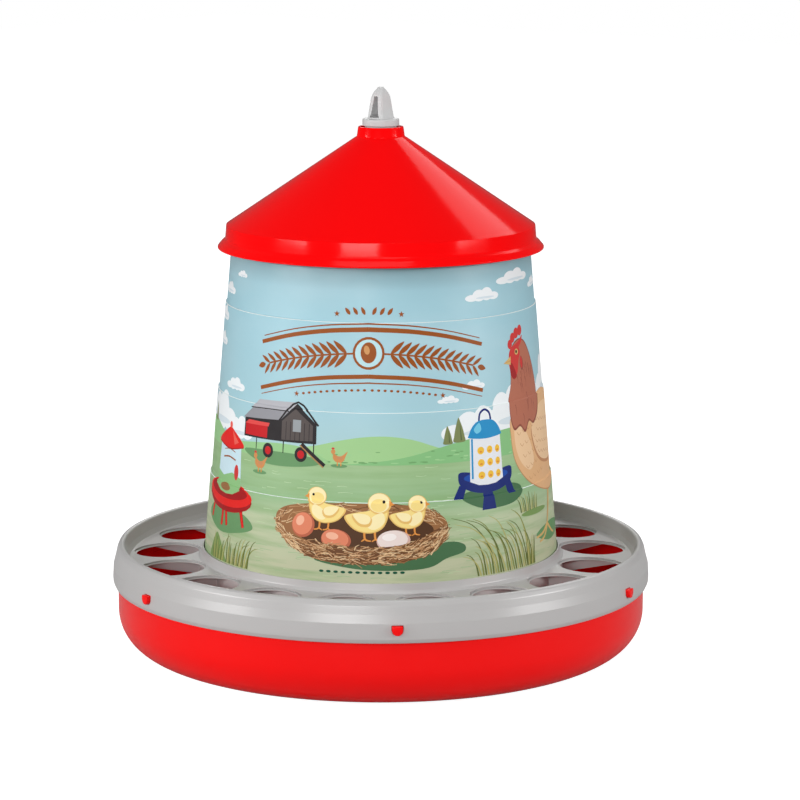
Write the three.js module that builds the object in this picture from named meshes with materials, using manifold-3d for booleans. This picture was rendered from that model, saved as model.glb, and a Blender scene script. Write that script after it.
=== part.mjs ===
// Gravity poultry feeder, built as it comes apart on a bench: a round tray with six snap
// tabs, an anti-waste ring with seventeen head openings, a tapered hopper with an adjustable
// feed gap, a lift-off lid, and a threaded rod that carries the whole feeder by its eye.
// Units are millimetres and +Z is up. An azimuth turns about Z from -Y towards +X.
import * as THREE from "three";
import { mergeVertices } from "three/addons/utils/BufferGeometryUtils.js";
import Module from "manifold-3d";

const wasm = await Module();
wasm.setup();

// Driving dimensions
const CLEARANCE = 0.3; // between pieces that touch
const TURN_STEPS = 72; // facets round the large turned pieces
const SMALL_TURN_STEPS = 24; // facets round rods, nuts and screws
const FRONT_AZIMUTH = 45; // one snap tab and the printed front look this way

const TRAY = {
  footRadius: 174,
  cornerRadius: 32,
  wall: 2.5,
  top: 69.6,
  coneFoot: 98,
  coneTop: 58,
  bossRadius: 22,
  bossTop: 64,
};
const TRAY_RADIUS = TRAY.footRadius + TRAY.cornerRadius;

const TAB = {
  count: 6,
  width: 8,
  top: 65.7,
  height: 6.9,
  reach: 212.8,
  tongueWidth: 14.2,
  tongueFoot: 53,
  tongueTop: 68,
  slotPlay: 0.4,
  windowPlay: 0.45,
};

const RING = {
  radius: 210,
  skirtFoot: 52.3,
  skirtInner: 206.7,
  crease: 67.6,
  top: 84,
  plateTop: 73, // at the collar; the plate falls a little towards the rim
  plateFall: 1.9,
  plateThickness: 2.2,
  plateOuter: 197,
  rampOuter: 142.6,
  rampInner: 140.9,
  collarCrown: 139.9,
  collarTop: 80.4,
  sleeveFoot: 44,
  sleeveThickness: 2,
  sleeveRoot: 142.4, // where the sleeve's outer face meets the plate's underside
  sleevePlay: 0.9,
};
const OPENING = { count: 17, centre: 168.6, radius: 24.7, steps: 24 };
const FIN = { azimuth: 43.2, thickness: 2, outer: 196, outerFoot: 68.2, innerFoot: 59.1 };

const HOPPER = {
  foot: 30,
  top: 332.8,
  wall: 2.2,
  referenceHeight: 73.5,
  referenceRadius: 138.6,
  taper: 0.082, // radius lost per millimetre of height
  stepHeights: [140, 206.5, 273],
  step: 1.05, // each section is this much narrower than the one below it
  stepRise: 0.8,
};

const BRIDGE = {
  arms: 3,
  armWidth: 14,
  armFoot: 317.8,
  armTop: 322.8,
  armReach: 111.4,
  webThickness: 4,
  webFoot: 308,
  webReach: 92,
  hubRadius: 18,
  hubFoot: 303,
  screwCircle: 104,
};
const LUG = { width: 12, inner: 97.5, outer: 114.9, foot: 294, noseFoot: 309 };
const SCREW = { radius: 1.9, headRadius: 4.6, headHeight: 2.5, foot: 305 };

const ROD = { radius: 5, foot: 44, top: 404 };
const ROD_HOLE = ROD.radius + CLEARANCE;
const NUT = { acrossFlats: 17, height: 8 };
const WASHER = { radius: 10, thickness: 1.6 };

const ADJUSTER = {
  neckRadius: 11.2,
  neckFoot: 297.5,
  grooveRadius: 9.6,
  grooveFoot: 300.2,
  grooveTop: 302.7,
  flangeRadius: 20,
  flangeThickness: 5,
  knobTop: 341,
  wingReach: 34,
  wingThickness: 5,
};
const CLIP = { outer: 15, thickness: 1.9, mouth: 12 };

const LID = {
  lipRadius: 126,
  lipFoot: 314.8,
  bandFoot: 321.8,
  bandTop: 332.5,
  bandRadius: 120.2,
  coneRadius: 119.3,
  coneTop: 398.9,
  coneTopRadius: 20.7,
  collarFoot: 400.2,
  collarTop: 407.8,
  collarRadius: 17.4,
  holeRadius: 15.3,
  wall: 2.2,
};

const EYE = {
  shankRadius: 12,
  shankFoot: 396,
  flangeFoot: 408.3,
  flangeTop: 413.9,
  flangeRadius: 14.2,
  top: 438,
  boreTop: 406,
  slotFoot: 414.6,
  slotTop: 431.6,
  slotFootWidth: 10.4,
  slotTopWidth: 3.4,
  blockHalf: 7.7,
  waist: 430,
  waistHalf: 5.6,
  crownHalf: 2.4,
};

// Materials
function plastic(name, color, roughness) {
  return new THREE.MeshStandardMaterial({ name, color, roughness, metalness: 0 });
}
const MATERIALS = {
  red: plastic("red_plastic", 0xee1111, 0.3),
  grey: plastic("grey_plastic", 0xc2c1c0, 0.5),
  print: plastic("printed_hopper", 0xb4cfc4, 0.45),
  steel: new THREE.MeshStandardMaterial({
    name: "zinc_steel",
    color: 0xb9bcc0,
    roughness: 0.35,
    metalness: 1,
  }),
};

// From three.js geometry to a manifold-3d solid and back
function solid(geometry) {
  geometry.deleteAttribute("normal");
  geometry.deleteAttribute("uv");
  const merged = mergeVertices(geometry, 1e-4);
  const mesh = new wasm.Mesh({
    numProp: 3,
    vertProperties: new Float32Array(merged.attributes.position.array),
    triVerts: new Uint32Array(merged.index.array),
  });
  return new wasm.Manifold(mesh);
}

function geometryOf(manifold) {
  const mesh = manifold.getMesh();
  const positions = new THREE.BufferAttribute(new Float32Array(mesh.vertProperties), 3);
  const geometry = new THREE.BufferGeometry();
  geometry.setAttribute("position", positions);
  geometry.setIndex(new THREE.BufferAttribute(new Uint32Array(mesh.triVerts), 1));
  const flat = geometry.toNonIndexed();
  flat.computeVertexNormals();
  return flat;
}

// Outline helpers: every outline is a list of [radius, height] or [x, y] pairs
function arc(centre, radius, fromDegrees, toDegrees, steps) {
  const points = [];
  for (let i = 0; i <= steps; i++) {
    const angle = THREE.MathUtils.degToRad(fromDegrees + ((toDegrees - fromDegrees) * i) / steps);
    points.push([centre[0] + radius * Math.cos(angle), centre[1] + radius * Math.sin(angle)]);
  }
  return points;
}

function signedArea(points) {
  return points.reduce((sum, [x, y], i) => {
    const [nextX, nextY] = points[(i + 1) % points.length];
    return sum + (x * nextY - nextX * y) / 2;
  }, 0);
}

// A closed outline turned about Z.
function turned(outline, steps = TURN_STEPS) {
  const loop = signedArea(outline) > 0 ? outline : [...outline].reverse();
  const points = [...loop, loop[0]].map(([r, z]) => new THREE.Vector2(r, z));
  const geometry = new THREE.LatheGeometry(points, steps);
  geometry.rotateX(Math.PI / 2);
  return solid(geometry);
}

// An outline in X and Y, raised from one height to another.
function raised(outline, foot, top) {
  const shape = new THREE.Shape(outline.map(([x, y]) => new THREE.Vector2(x, y)));
  const geometry = new THREE.ExtrudeGeometry(shape, { depth: top - foot, bevelEnabled: false });
  geometry.translate(0, 0, foot);
  return solid(geometry);
}

// An outline in radius and height, made into a plate across azimuth 0 (the -Y direction).
function radialPlate(outline, thickness) {
  const shape = new THREE.Shape(outline.map(([r, z]) => new THREE.Vector2(r, z)));
  const geometry = new THREE.ExtrudeGeometry(shape, { depth: thickness, bevelEnabled: false });
  geometry.translate(0, 0, -thickness / 2);
  geometry.rotateX(Math.PI / 2);
  geometry.rotateZ(-Math.PI / 2);
  return solid(geometry);
}

// An outline in X and Z, pushed through from one radius to another along azimuth 0.
function radialBar(outline, inner, outer) {
  const shape = new THREE.Shape(outline.map(([x, z]) => new THREE.Vector2(x, z)));
  const geometry = new THREE.ExtrudeGeometry(shape, { depth: outer - inner, bevelEnabled: false });
  geometry.rotateX(Math.PI / 2);
  geometry.translate(0, -inner, 0);
  return solid(geometry);
}

function rectangle(halfWidth, foot, top) {
  return [
    [-halfWidth, foot],
    [halfWidth, foot],
    [halfWidth, top],
    [-halfWidth, top],
  ];
}

function atAzimuth(manifold, degrees) {
  return manifold.rotate([0, 0, degrees]);
}

function aroundAxis(manifold, count, firstAzimuth) {
  const pitch = 360 / count;
  const copies = [];
  for (let i = 0; i < count; i++) copies.push(atAzimuth(manifold, firstAzimuth + i * pitch));
  return wasm.Manifold.union(copies);
}

const feeder = new THREE.Group();

function addPart(name, manifold, material) {
  const mesh = new THREE.Mesh(geometryOf(manifold), material.clone());
  mesh.name = name;
  feeder.add(mesh);
}

// Tray: a shallow bowl with a hollow spreading cone in the middle
function trayOutline() {
  const { footRadius, cornerRadius, wall, top, coneFoot, coneTop, bossRadius, bossTop } = TRAY;
  const coneCrown = bossRadius - 3;
  const slope = coneTop / (coneFoot - coneCrown);
  const rise = wall * Math.hypot(1, slope);
  const coneHeight = (r) => coneTop + rise - (r - coneCrown) * slope;
  const floorStart = coneCrown + (coneTop + rise - wall) / slope;
  const centre = [footRadius, cornerRadius];
  return [
    [ROD_HOLE, coneTop],
    [coneCrown, coneTop],
    [coneFoot, 0],
    ...arc(centre, cornerRadius, -90, 0, 7),
    [TRAY_RADIUS, top],
    [TRAY_RADIUS - wall, top],
    ...arc(centre, cornerRadius - wall, 0, -90, 7),
    [floorStart, wall],
    [bossRadius, coneHeight(bossRadius)],
    [bossRadius, bossTop],
    [ROD_HOLE, bossTop],
  ];
}

// Each snap tab stands in its own slot in the tray wall, hidden behind the ring's skirt.
function tray() {
  const slotHalfWidth = TAB.tongueWidth / 2 + TAB.slotPlay;
  const slot = radialBar(
    rectangle(slotHalfWidth, TAB.tongueFoot - CLEARANCE, TRAY.top + 1),
    TRAY_RADIUS - 10,
    TRAY_RADIUS + 10,
  );
  return turned(trayOutline()).subtract(aroundAxis(slot, TAB.count, FRONT_AZIMUTH));
}

// The tab's head has a flat top and a round bottom.
function tabOutline(play) {
  const halfWidth = TAB.width / 2 + play;
  const roundCentre = TAB.top - TAB.height + TAB.width / 2;
  const roundFoot = arc([0, roundCentre], halfWidth, 180, 360, 8);
  return [[halfWidth, TAB.top + play], [-halfWidth, TAB.top + play], ...roundFoot];
}

function snapTab() {
  const wallBand = turned([
    [TRAY_RADIUS - TRAY.wall, TAB.tongueFoot],
    [TRAY_RADIUS, TAB.tongueFoot],
    [TRAY_RADIUS, TAB.tongueTop],
    [TRAY_RADIUS - TRAY.wall, TAB.tongueTop],
  ]);
  const cut = radialBar(
    rectangle(TAB.tongueWidth / 2, TAB.tongueFoot - 1, TAB.tongueTop + 1),
    TRAY_RADIUS - 10,
    TRAY_RADIUS + 10,
  );
  const tongue = wallBand.intersect(atAzimuth(cut, FRONT_AZIMUTH));
  const head = radialBar(tabOutline(0), TRAY_RADIUS - TRAY.wall / 2, TAB.reach);
  return tongue.add(atAzimuth(head, FRONT_AZIMUTH));
}

// Hopper: four tapered sections, each a little narrower than the one below
function hopperRadius(height, section) {
  const { referenceRadius, referenceHeight, taper, step } = HOPPER;
  return referenceRadius - taper * (height - referenceHeight) - step * section;
}

function hopperWallLine(inset) {
  const line = [[hopperRadius(HOPPER.foot, 0) - inset, HOPPER.foot]];
  HOPPER.stepHeights.forEach((height, section) => {
    line.push([hopperRadius(height, section) - inset, height]);
    const above = height + HOPPER.stepRise;
    line.push([hopperRadius(above, section + 1) - inset, above]);
  });
  const lastSection = HOPPER.stepHeights.length;
  line.push([hopperRadius(HOPPER.top, lastSection) - inset, HOPPER.top]);
  return line;
}

// Three lugs inside the top of the hopper carry the bridge.
function hopper() {
  const wall = turned([...hopperWallLine(0), ...hopperWallLine(HOPPER.wall).reverse()]);
  const seat = BRIDGE.armFoot - CLEARANCE;
  const lug = radialPlate(
    [
      [LUG.inner, seat],
      [LUG.inner, LUG.noseFoot],
      [LUG.outer, LUG.foot],
      [LUG.outer, seat],
    ],
    LUG.width,
  );
  const pilot = screwHole(SCREW.radius + CLEARANCE, SCREW.foot - 2, seat + 1);
  const drilled = lug.subtract(pilot);
  return wall.add(aroundAxis(drilled, BRIDGE.arms, FRONT_AZIMUTH + 60));
}

function screwHole(radius, foot, top) {
  const outline = arc([0, -BRIDGE.screwCircle], radius, 0, 345, 23);
  return raised(outline, foot, top);
}

// Ring: skirt, rolled rim, grid plate, collar that hugs the hopper and the sleeve below it
function ringOutline() {
  const plateFoot = RING.plateTop - RING.plateThickness;
  const plateEdge = RING.plateTop - RING.plateFall;
  const sleeveInner = (height) => hopperRadius(height, 0) + RING.sleevePlay;
  return [
    [RING.skirtInner, RING.skirtFoot],
    [RING.radius - 1.7, RING.skirtFoot],
    [RING.radius - 0.2, RING.skirtFoot + 2],
    [RING.radius, RING.skirtFoot + 5.5],
    [RING.radius - 0.4, RING.crease],
    [RING.radius - 1.2, RING.crease + 0.6],
    [RING.radius - 2.2, RING.crease + 6],
    [RING.radius - 3.6, RING.top - 4.4],
    [RING.radius - 5.2, RING.top - 1.3],
    [RING.radius - 7.4, RING.top],
    [RING.radius - 9.4, RING.top - 0.8],
    [RING.plateOuter + 1.8, plateEdge + 3.9],
    [RING.plateOuter, plateEdge],
    [RING.rampOuter, RING.plateTop],
    [RING.rampInner, RING.plateTop + 2.2],
    [RING.collarCrown, RING.collarTop],
    [sleeveInner(RING.collarTop), RING.collarTop],
    [sleeveInner(RING.sleeveFoot), RING.sleeveFoot],
    [sleeveInner(RING.sleeveFoot) + RING.sleeveThickness, RING.sleeveFoot],
    [RING.sleeveRoot, plateFoot],
    [RING.plateOuter + 0.6, plateEdge - RING.plateThickness],
    [RING.plateOuter + 3.4, plateEdge + 2.5],
    [RING.radius - 8, RING.top - 3],
    [RING.radius - 6.6, RING.top - 4],
    [RING.radius - 4.6, RING.crease + 5.4],
    [RING.skirtInner, TRAY.top + 0.6],
  ];
}

function opening() {
  const outline = [];
  for (let i = 0; i < OPENING.steps; i++) {
    const angle = (2 * Math.PI * i) / OPENING.steps;
    const along = OPENING.centre + OPENING.radius * Math.cos(angle);
    outline.push([OPENING.radius * Math.sin(angle), -along]);
  }
  return raised(outline, RING.plateTop - RING.plateFall - RING.plateThickness - 1, RING.top + 1);
}

function fin() {
  const root = RING.plateTop - RING.plateThickness / 2;
  const sleeve = hopperRadius(root, 0) + RING.sleevePlay + 1;
  return radialPlate(
    [
      [sleeve, root],
      [sleeve + 1, FIN.innerFoot],
      [FIN.outer, FIN.outerFoot],
      [FIN.outer, root - RING.plateFall],
    ],
    FIN.thickness,
  );
}

function wasteRing() {
  const pitch = 360 / OPENING.count;
  const openings = aroundAxis(opening(), OPENING.count, FIN.azimuth + pitch / 2);
  const fins = aroundAxis(fin(), OPENING.count, FIN.azimuth);
  const window = radialBar(tabOutline(TAB.windowPlay), TRAY_RADIUS - 1, RING.radius + 2);
  const windows = aroundAxis(window, TAB.count, FRONT_AZIMUTH);
  return turned(ringOutline()).subtract(openings).add(fins).subtract(windows);
}

// Bridge: three arms and a hub that hold the feed adjuster on the rod's line
function bridge() {
  const hub = turned(
    [
      [ADJUSTER.neckRadius + CLEARANCE, BRIDGE.hubFoot],
      [BRIDGE.hubRadius, BRIDGE.hubFoot],
      [BRIDGE.hubRadius, BRIDGE.armTop],
      [ADJUSTER.neckRadius + CLEARANCE, BRIDGE.armTop],
    ],
    SMALL_TURN_STEPS,
  );
  const start = BRIDGE.hubRadius - 3;
  const arm = radialBar(
    rectangle(BRIDGE.armWidth / 2, BRIDGE.armFoot, BRIDGE.armTop),
    start,
    BRIDGE.armReach,
  ).subtract(screwHole(SCREW.radius + 0.6, BRIDGE.armFoot - 1, BRIDGE.armTop + 1));
  const web = radialPlate(
    [
      [start, BRIDGE.armFoot + 1],
      [start, BRIDGE.webFoot - 4],
      [BRIDGE.webReach, BRIDGE.webFoot + 6],
      [BRIDGE.webReach, BRIDGE.armFoot + 1],
    ],
    BRIDGE.webThickness,
  );
  return hub.add(aroundAxis(arm.add(web), BRIDGE.arms, FRONT_AZIMUTH + 60));
}

function bridgeScrew() {
  const headFoot = BRIDGE.armTop + CLEARANCE;
  const profile = [
    [0, SCREW.foot],
    [SCREW.radius, SCREW.foot + 2],
    [SCREW.radius, headFoot],
    [SCREW.headRadius, headFoot],
    [SCREW.headRadius - 0.4, headFoot + 1.4],
    [SCREW.headRadius - 2, headFoot + SCREW.headHeight],
    [0, headFoot + SCREW.headHeight],
  ];
  return turned(profile, SMALL_TURN_STEPS / 2).translate([0, -BRIDGE.screwCircle, 0]);
}

// Adjuster: a wing nut whose neck turns in the bridge, with a clip that keeps it there
function adjusterNut() {
  const flangeFoot = BRIDGE.armTop + CLEARANCE;
  const flangeTop = flangeFoot + ADJUSTER.flangeThickness;
  const body = turned(
    [
      [ROD_HOLE, ADJUSTER.neckFoot],
      [ADJUSTER.neckRadius, ADJUSTER.neckFoot],
      [ADJUSTER.neckRadius, ADJUSTER.grooveFoot],
      [ADJUSTER.grooveRadius, ADJUSTER.grooveFoot],
      [ADJUSTER.grooveRadius, ADJUSTER.grooveTop],
      [ADJUSTER.neckRadius, ADJUSTER.grooveTop],
      [ADJUSTER.neckRadius, flangeFoot],
      [ADJUSTER.flangeRadius, flangeFoot],
      [ADJUSTER.flangeRadius, flangeTop],
      [ADJUSTER.neckRadius, flangeTop + 2],
      [ADJUSTER.neckRadius - 1.5, ADJUSTER.knobTop],
      [ROD_HOLE, ADJUSTER.knobTop],
    ],
    SMALL_TURN_STEPS,
  );
  const wingTop = ADJUSTER.knobTop + 2;
  const tip = arc([ADJUSTER.wingReach - 7, wingTop - 7], 7, -60, 90, 5);
  const wing = radialPlate(
    [
      [ADJUSTER.neckRadius - 4, flangeTop - 1],
      [ADJUSTER.flangeRadius - 2, flangeTop - 1],
      ...tip,
      [ADJUSTER.flangeRadius + 2, wingTop - 1],
      [ADJUSTER.neckRadius - 4, ADJUSTER.knobTop - 2],
    ],
    ADJUSTER.wingThickness,
  );
  return body.add(aroundAxis(wing, 2, FRONT_AZIMUTH + 90));
}

function adjusterClip() {
  const inner = ADJUSTER.grooveRadius + CLEARANCE;
  const foot = ADJUSTER.grooveFoot + CLEARANCE;
  const washer = turned(
    [
      [inner, foot],
      [CLIP.outer, foot],
      [CLIP.outer, foot + CLIP.thickness],
      [inner, foot + CLIP.thickness],
    ],
    SMALL_TURN_STEPS,
  );
  const mouth = radialBar(
    rectangle(CLIP.mouth / 2, foot - 1, foot + CLIP.thickness + 1),
    0,
    CLIP.outer + 2,
  );
  return washer.subtract(atAzimuth(mouth, FRONT_AZIMUTH));
}

// Lid: collar, steep cone, short band and a flared lip, all one thin shell
function lid() {
  const slope = (LID.coneTop - LID.bandTop) / (LID.coneRadius - LID.coneTopRadius);
  const drop = LID.wall * Math.hypot(1, slope);
  const underCone = (r) => LID.bandTop + (LID.coneRadius - r) * slope - drop;
  const bandInner = LID.coneRadius - LID.wall;
  return turned([
    [LID.holeRadius, underCone(LID.holeRadius)],
    [bandInner, underCone(bandInner)],
    [LID.bandRadius - LID.wall, LID.bandFoot - 0.4],
    [LID.bandRadius + 0.2, LID.bandFoot - 4.2],
    [LID.lipRadius - 2.2, LID.lipFoot],
    [LID.lipRadius, LID.lipFoot],
    [LID.lipRadius, LID.lipFoot + 1.2],
    [LID.lipRadius - 3, LID.bandFoot - 2.2],
    [LID.bandRadius + 0.8, LID.bandFoot - 0.5],
    [LID.bandRadius, LID.bandFoot + 0.6],
    [LID.coneRadius, LID.bandTop],
    [LID.coneTopRadius, LID.coneTop],
    [LID.collarRadius + 1.1, LID.collarFoot],
    [LID.collarRadius, LID.collarTop],
    [LID.holeRadius, LID.collarTop],
  ]);
}

// Rod and the fasteners on it
function hangerRod() {
  const chamfer = 1;
  return turned(
    [
      [0, ROD.foot],
      [ROD.radius - chamfer, ROD.foot],
      [ROD.radius, ROD.foot + chamfer],
      [ROD.radius, ROD.top - chamfer],
      [ROD.radius - chamfer, ROD.top],
      [0, ROD.top],
    ],
    SMALL_TURN_STEPS,
  );
}

function hexNut(foot) {
  const corner = NUT.acrossFlats / 2 / Math.cos(Math.PI / 6);
  const outline = arc([0, 0], corner, 0, 300, 5);
  const bore = raised(arc([0, 0], ROD_HOLE, 0, 345, 23), foot - 1, foot + NUT.height + 1);
  return raised(outline, foot, foot + NUT.height).subtract(bore);
}

function rodWasher(foot) {
  return turned(
    [
      [ROD_HOLE, foot],
      [WASHER.radius, foot],
      [WASHER.radius, foot + WASHER.thickness],
      [ROD_HOLE, foot + WASHER.thickness],
    ],
    SMALL_TURN_STEPS,
  );
}

// Hanging eye: a flanged shank screwed on the rod, and a tapered block with the cord slot
function eyeBlock() {
  const side = [
    [EYE.blockHalf, EYE.flangeTop - 1],
    [EYE.blockHalf - 0.1, EYE.flangeTop + 1.5],
    [EYE.waistHalf, EYE.waist],
    [EYE.waistHalf - 1.3, EYE.waist + 4.2],
    [EYE.crownHalf, EYE.top],
  ];
  const outline = [...side, ...side.map(([x, z]) => [-x, z]).reverse()];
  const across = radialBar(outline, -EYE.blockHalf - 1, EYE.blockHalf + 1);
  return across.intersect(atAzimuth(across, 90));
}

function eyeSlot() {
  const foot = EYE.slotFootWidth / 2;
  const top = EYE.slotTopWidth / 2;
  const outline = [
    [-foot, EYE.slotFoot],
    [foot, EYE.slotFoot],
    [top, EYE.slotTop - 1],
    [top / 2, EYE.slotTop],
    [-top / 2, EYE.slotTop],
    [-top, EYE.slotTop - 1],
  ];
  return radialBar(outline, -20, 20);
}

function hangingEye() {
  const shank = turned(
    [
      [0, EYE.boreTop],
      [ROD_HOLE, EYE.boreTop],
      [ROD_HOLE, EYE.shankFoot],
      [EYE.shankRadius, EYE.shankFoot],
      [EYE.shankRadius, EYE.flangeFoot],
      [EYE.flangeRadius, EYE.flangeFoot + 0.6],
      [EYE.flangeRadius, EYE.flangeTop - 1.4],
      [EYE.flangeRadius - 1.4, EYE.flangeTop],
      [0, EYE.flangeTop],
    ],
    SMALL_TURN_STEPS,
  );
  return shank.add(eyeBlock()).subtract(eyeSlot());
}

// Assembly
addPart("tray", tray(), MATERIALS.red);
for (let i = 0; i < TAB.count; i++) {
  addPart(`snap_tab_${i + 1}`, atAzimuth(snapTab(), (360 / TAB.count) * i), MATERIALS.red);
}
addPart("anti_waste_ring", wasteRing(), MATERIALS.grey);
addPart("hopper", hopper(), MATERIALS.print);
addPart("hopper_bridge", bridge(), MATERIALS.grey);
for (let i = 0; i < BRIDGE.arms; i++) {
  const azimuth = FRONT_AZIMUTH + 60 + (360 / BRIDGE.arms) * i;
  addPart(`bridge_screw_${i + 1}`, atAzimuth(bridgeScrew(), azimuth), MATERIALS.steel);
}
addPart("feed_adjuster_nut", adjusterNut(), MATERIALS.red);
addPart("adjuster_clip", adjusterClip(), MATERIALS.steel);
addPart("lid", lid(), MATERIALS.red);
addPart("hanger_rod", hangerRod(), MATERIALS.steel);
const lowerWasherFoot = TRAY.coneTop - CLEARANCE - WASHER.thickness;
addPart("lower_washer", rodWasher(lowerWasherFoot), MATERIALS.steel);
addPart("lower_nut", hexNut(lowerWasherFoot - CLEARANCE - NUT.height), MATERIALS.steel);
const upperWasherFoot = TRAY.bossTop + CLEARANCE;
addPart("upper_washer", rodWasher(upperWasherFoot), MATERIALS.steel);
const upperNutFoot = upperWasherFoot + WASHER.thickness + CLEARANCE;
addPart("upper_nut", hexNut(upperNutFoot), MATERIALS.steel);
addPart("hanging_eye", hangingEye(), MATERIALS.grey);
addPart("eye_lock_nut", hexNut(EYE.shankFoot - CLEARANCE - NUT.height), MATERIALS.steel);

export default feeder;
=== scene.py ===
"""Looks of the gravity poultry feeder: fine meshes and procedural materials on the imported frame."""

import math
import random

import bmesh
import bpy
from mathutils import Matrix, Vector, geometry


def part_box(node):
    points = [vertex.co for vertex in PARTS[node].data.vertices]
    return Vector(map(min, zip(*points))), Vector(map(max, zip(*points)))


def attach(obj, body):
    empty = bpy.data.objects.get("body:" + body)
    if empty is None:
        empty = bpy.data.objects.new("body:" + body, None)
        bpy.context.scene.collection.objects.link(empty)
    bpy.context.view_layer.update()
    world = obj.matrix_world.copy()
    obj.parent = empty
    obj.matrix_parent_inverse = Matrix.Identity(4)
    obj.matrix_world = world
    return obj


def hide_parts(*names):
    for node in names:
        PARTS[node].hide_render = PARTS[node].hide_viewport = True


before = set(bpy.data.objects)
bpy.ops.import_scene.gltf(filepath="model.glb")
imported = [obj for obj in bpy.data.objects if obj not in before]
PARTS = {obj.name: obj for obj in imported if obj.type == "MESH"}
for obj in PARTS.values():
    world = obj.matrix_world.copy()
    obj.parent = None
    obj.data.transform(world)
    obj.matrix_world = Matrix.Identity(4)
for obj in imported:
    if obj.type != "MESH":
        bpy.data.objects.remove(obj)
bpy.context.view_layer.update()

MM = 0.001
FRONT_AZIMUTH = 45.0  # azimuth of the first snap tab, as in the CAD

# The camera and the floor: metres and degrees, with the lens and the sensor in millimetres.
CAMERA_AZIMUTH = 41.7
CAMERA_DISTANCE = 2.456
CAMERA_HEIGHT = 0.636
CAMERA_TILT = 10.2
LENS_MM = 144.0
SENSOR_MM = 36.0
FRAMING_SHIFT = 0.024
FARTHEST_SEEN = 20.0
FLOOR_SIZE = 12
FLOOR_HEIGHT = -0.0004

# The room's strength as light on the feeder, and as it shows in the gloss. The camera sees it at 1.
ROOM_LIGHT = 0.18
ROOM_GLOSS = 0.12

# Sizes as in the CAD: millimetres, apart from counts, ratios and azimuths in degrees.
ROD_HOLE = 5.3
ROD_RADIUS = 5.0
THREAD_STARTS = 2
THREAD_LEAD = 5.0
THREAD_DEPTH = 0.7
NUT_FLATS = 17.0

TRAY_RADIUS = 206.0
TRAY_CORNER = 32.0
TRAY_WALL = 2.5
TRAY_TOP = 69.6
TRAY_CONE_FOOT = 98.0
TRAY_CONE_TOP = 58.0
TRAY_BOSS = 22.0

TAB_TONGUE = 14.2
TAB_HALF = 4.0
TAB_TOP = 65.7
TAB_HEIGHT = 6.9
TAB_REACH = 212.8
TAB_PLAY = 0.45

RING_RADIUS = 210.0
RING_SKIRT_INNER = 206.7
RING_SKIRT_FOOT = 52.3
RING_CREASE = 67.6
RING_TOP = 84.0
PLATE_TOP = 73.0
PLATE_FALL = 1.9
PLATE_WALL = 2.2
PLATE_OUTER = 197.0
COLLAR_RAMP = 142.6
COLLAR_SHOULDER = 140.9
COLLAR_CROWN = 139.9
COLLAR_TOP = 80.4
SLEEVE_ROOT = 142.4
SLEEVE_FOOT = 44.0
SLEEVE_PLAY = 0.9
OPENINGS = 17
OPENING_CENTRE = 168.6
OPENING_RADIUS = 24.7
OPENING_EDGE = 1.5
FIN_AZIMUTH = 43.2
FIN_OUTER = 196.0
FIN_OUTER_FOOT = 68.2
FIN_INNER_FOOT = 59.1

HOPPER_FOOT = 30.0
HOPPER_TOP = 332.8
HOPPER_WALL = 2.2
HOPPER_REFERENCE = 138.6
HOPPER_REFERENCE_HEIGHT = 73.5
HOPPER_TAPER = 0.082
HOPPER_STEP = 1.05
HOPPER_STEP_RISE = 0.8
HOPPER_STEPS = (140.0, 206.5, 273.0)
LUG_INNER = 97.5
LUG_OUTER = 114.9
LUG_FOOT = 294.0
LUG_NOSE = 309.0
LUG_TOP = 317.5
LUG_WIDTH = 12.0

LID_LIP = 126.0
LID_BAND = 120.2
LID_BAND_FOOT = 321.8
LID_BAND_TOP = 332.5
LID_CONE_FOOT = 119.3
LID_CONE_TOP = 398.9
LID_CONE_CROWN = 20.7
LID_COLLAR = 17.4
LID_HOLE = 15.3
LID_WALL = 2.2

EYE_FOOT_HALF = 7.7
EYE_WAIST_HALF = 5.6
EYE_WAIST = 430.0
EYE_TOP = 438.0
EYE_FLANGE = 14.2
EYE_FLANGE_FOOT = 408.3
EYE_FLANGE_TOP = 413.9
EYE_SHANK = 12.0
EYE_SHANK_FOOT = 396.0
EYE_BORE_TOP = 406.0
EYE_SLOT_FOOT = 414.6
EYE_SLOT_TOP = 431.6

# The printed scene, measured along the film: millimetres round it and millimetres of height.
PRINT_AZIMUTH = CAMERA_AZIMUTH
PRINT_RADIUS = 128.0
PRINT_HALF = PRINT_RADIUS * math.pi / 2
PRINT_FOOT = 80.9
PRINT_TOP = 331.0
PRINT_COLUMN = 4.0
PRINT_LIFT = 0.08
HORIZON = 169.5
TITLE_MIDDLE = -9.5
TITLE_HALF = 95.0
TITLE_FALL = 14.8

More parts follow.
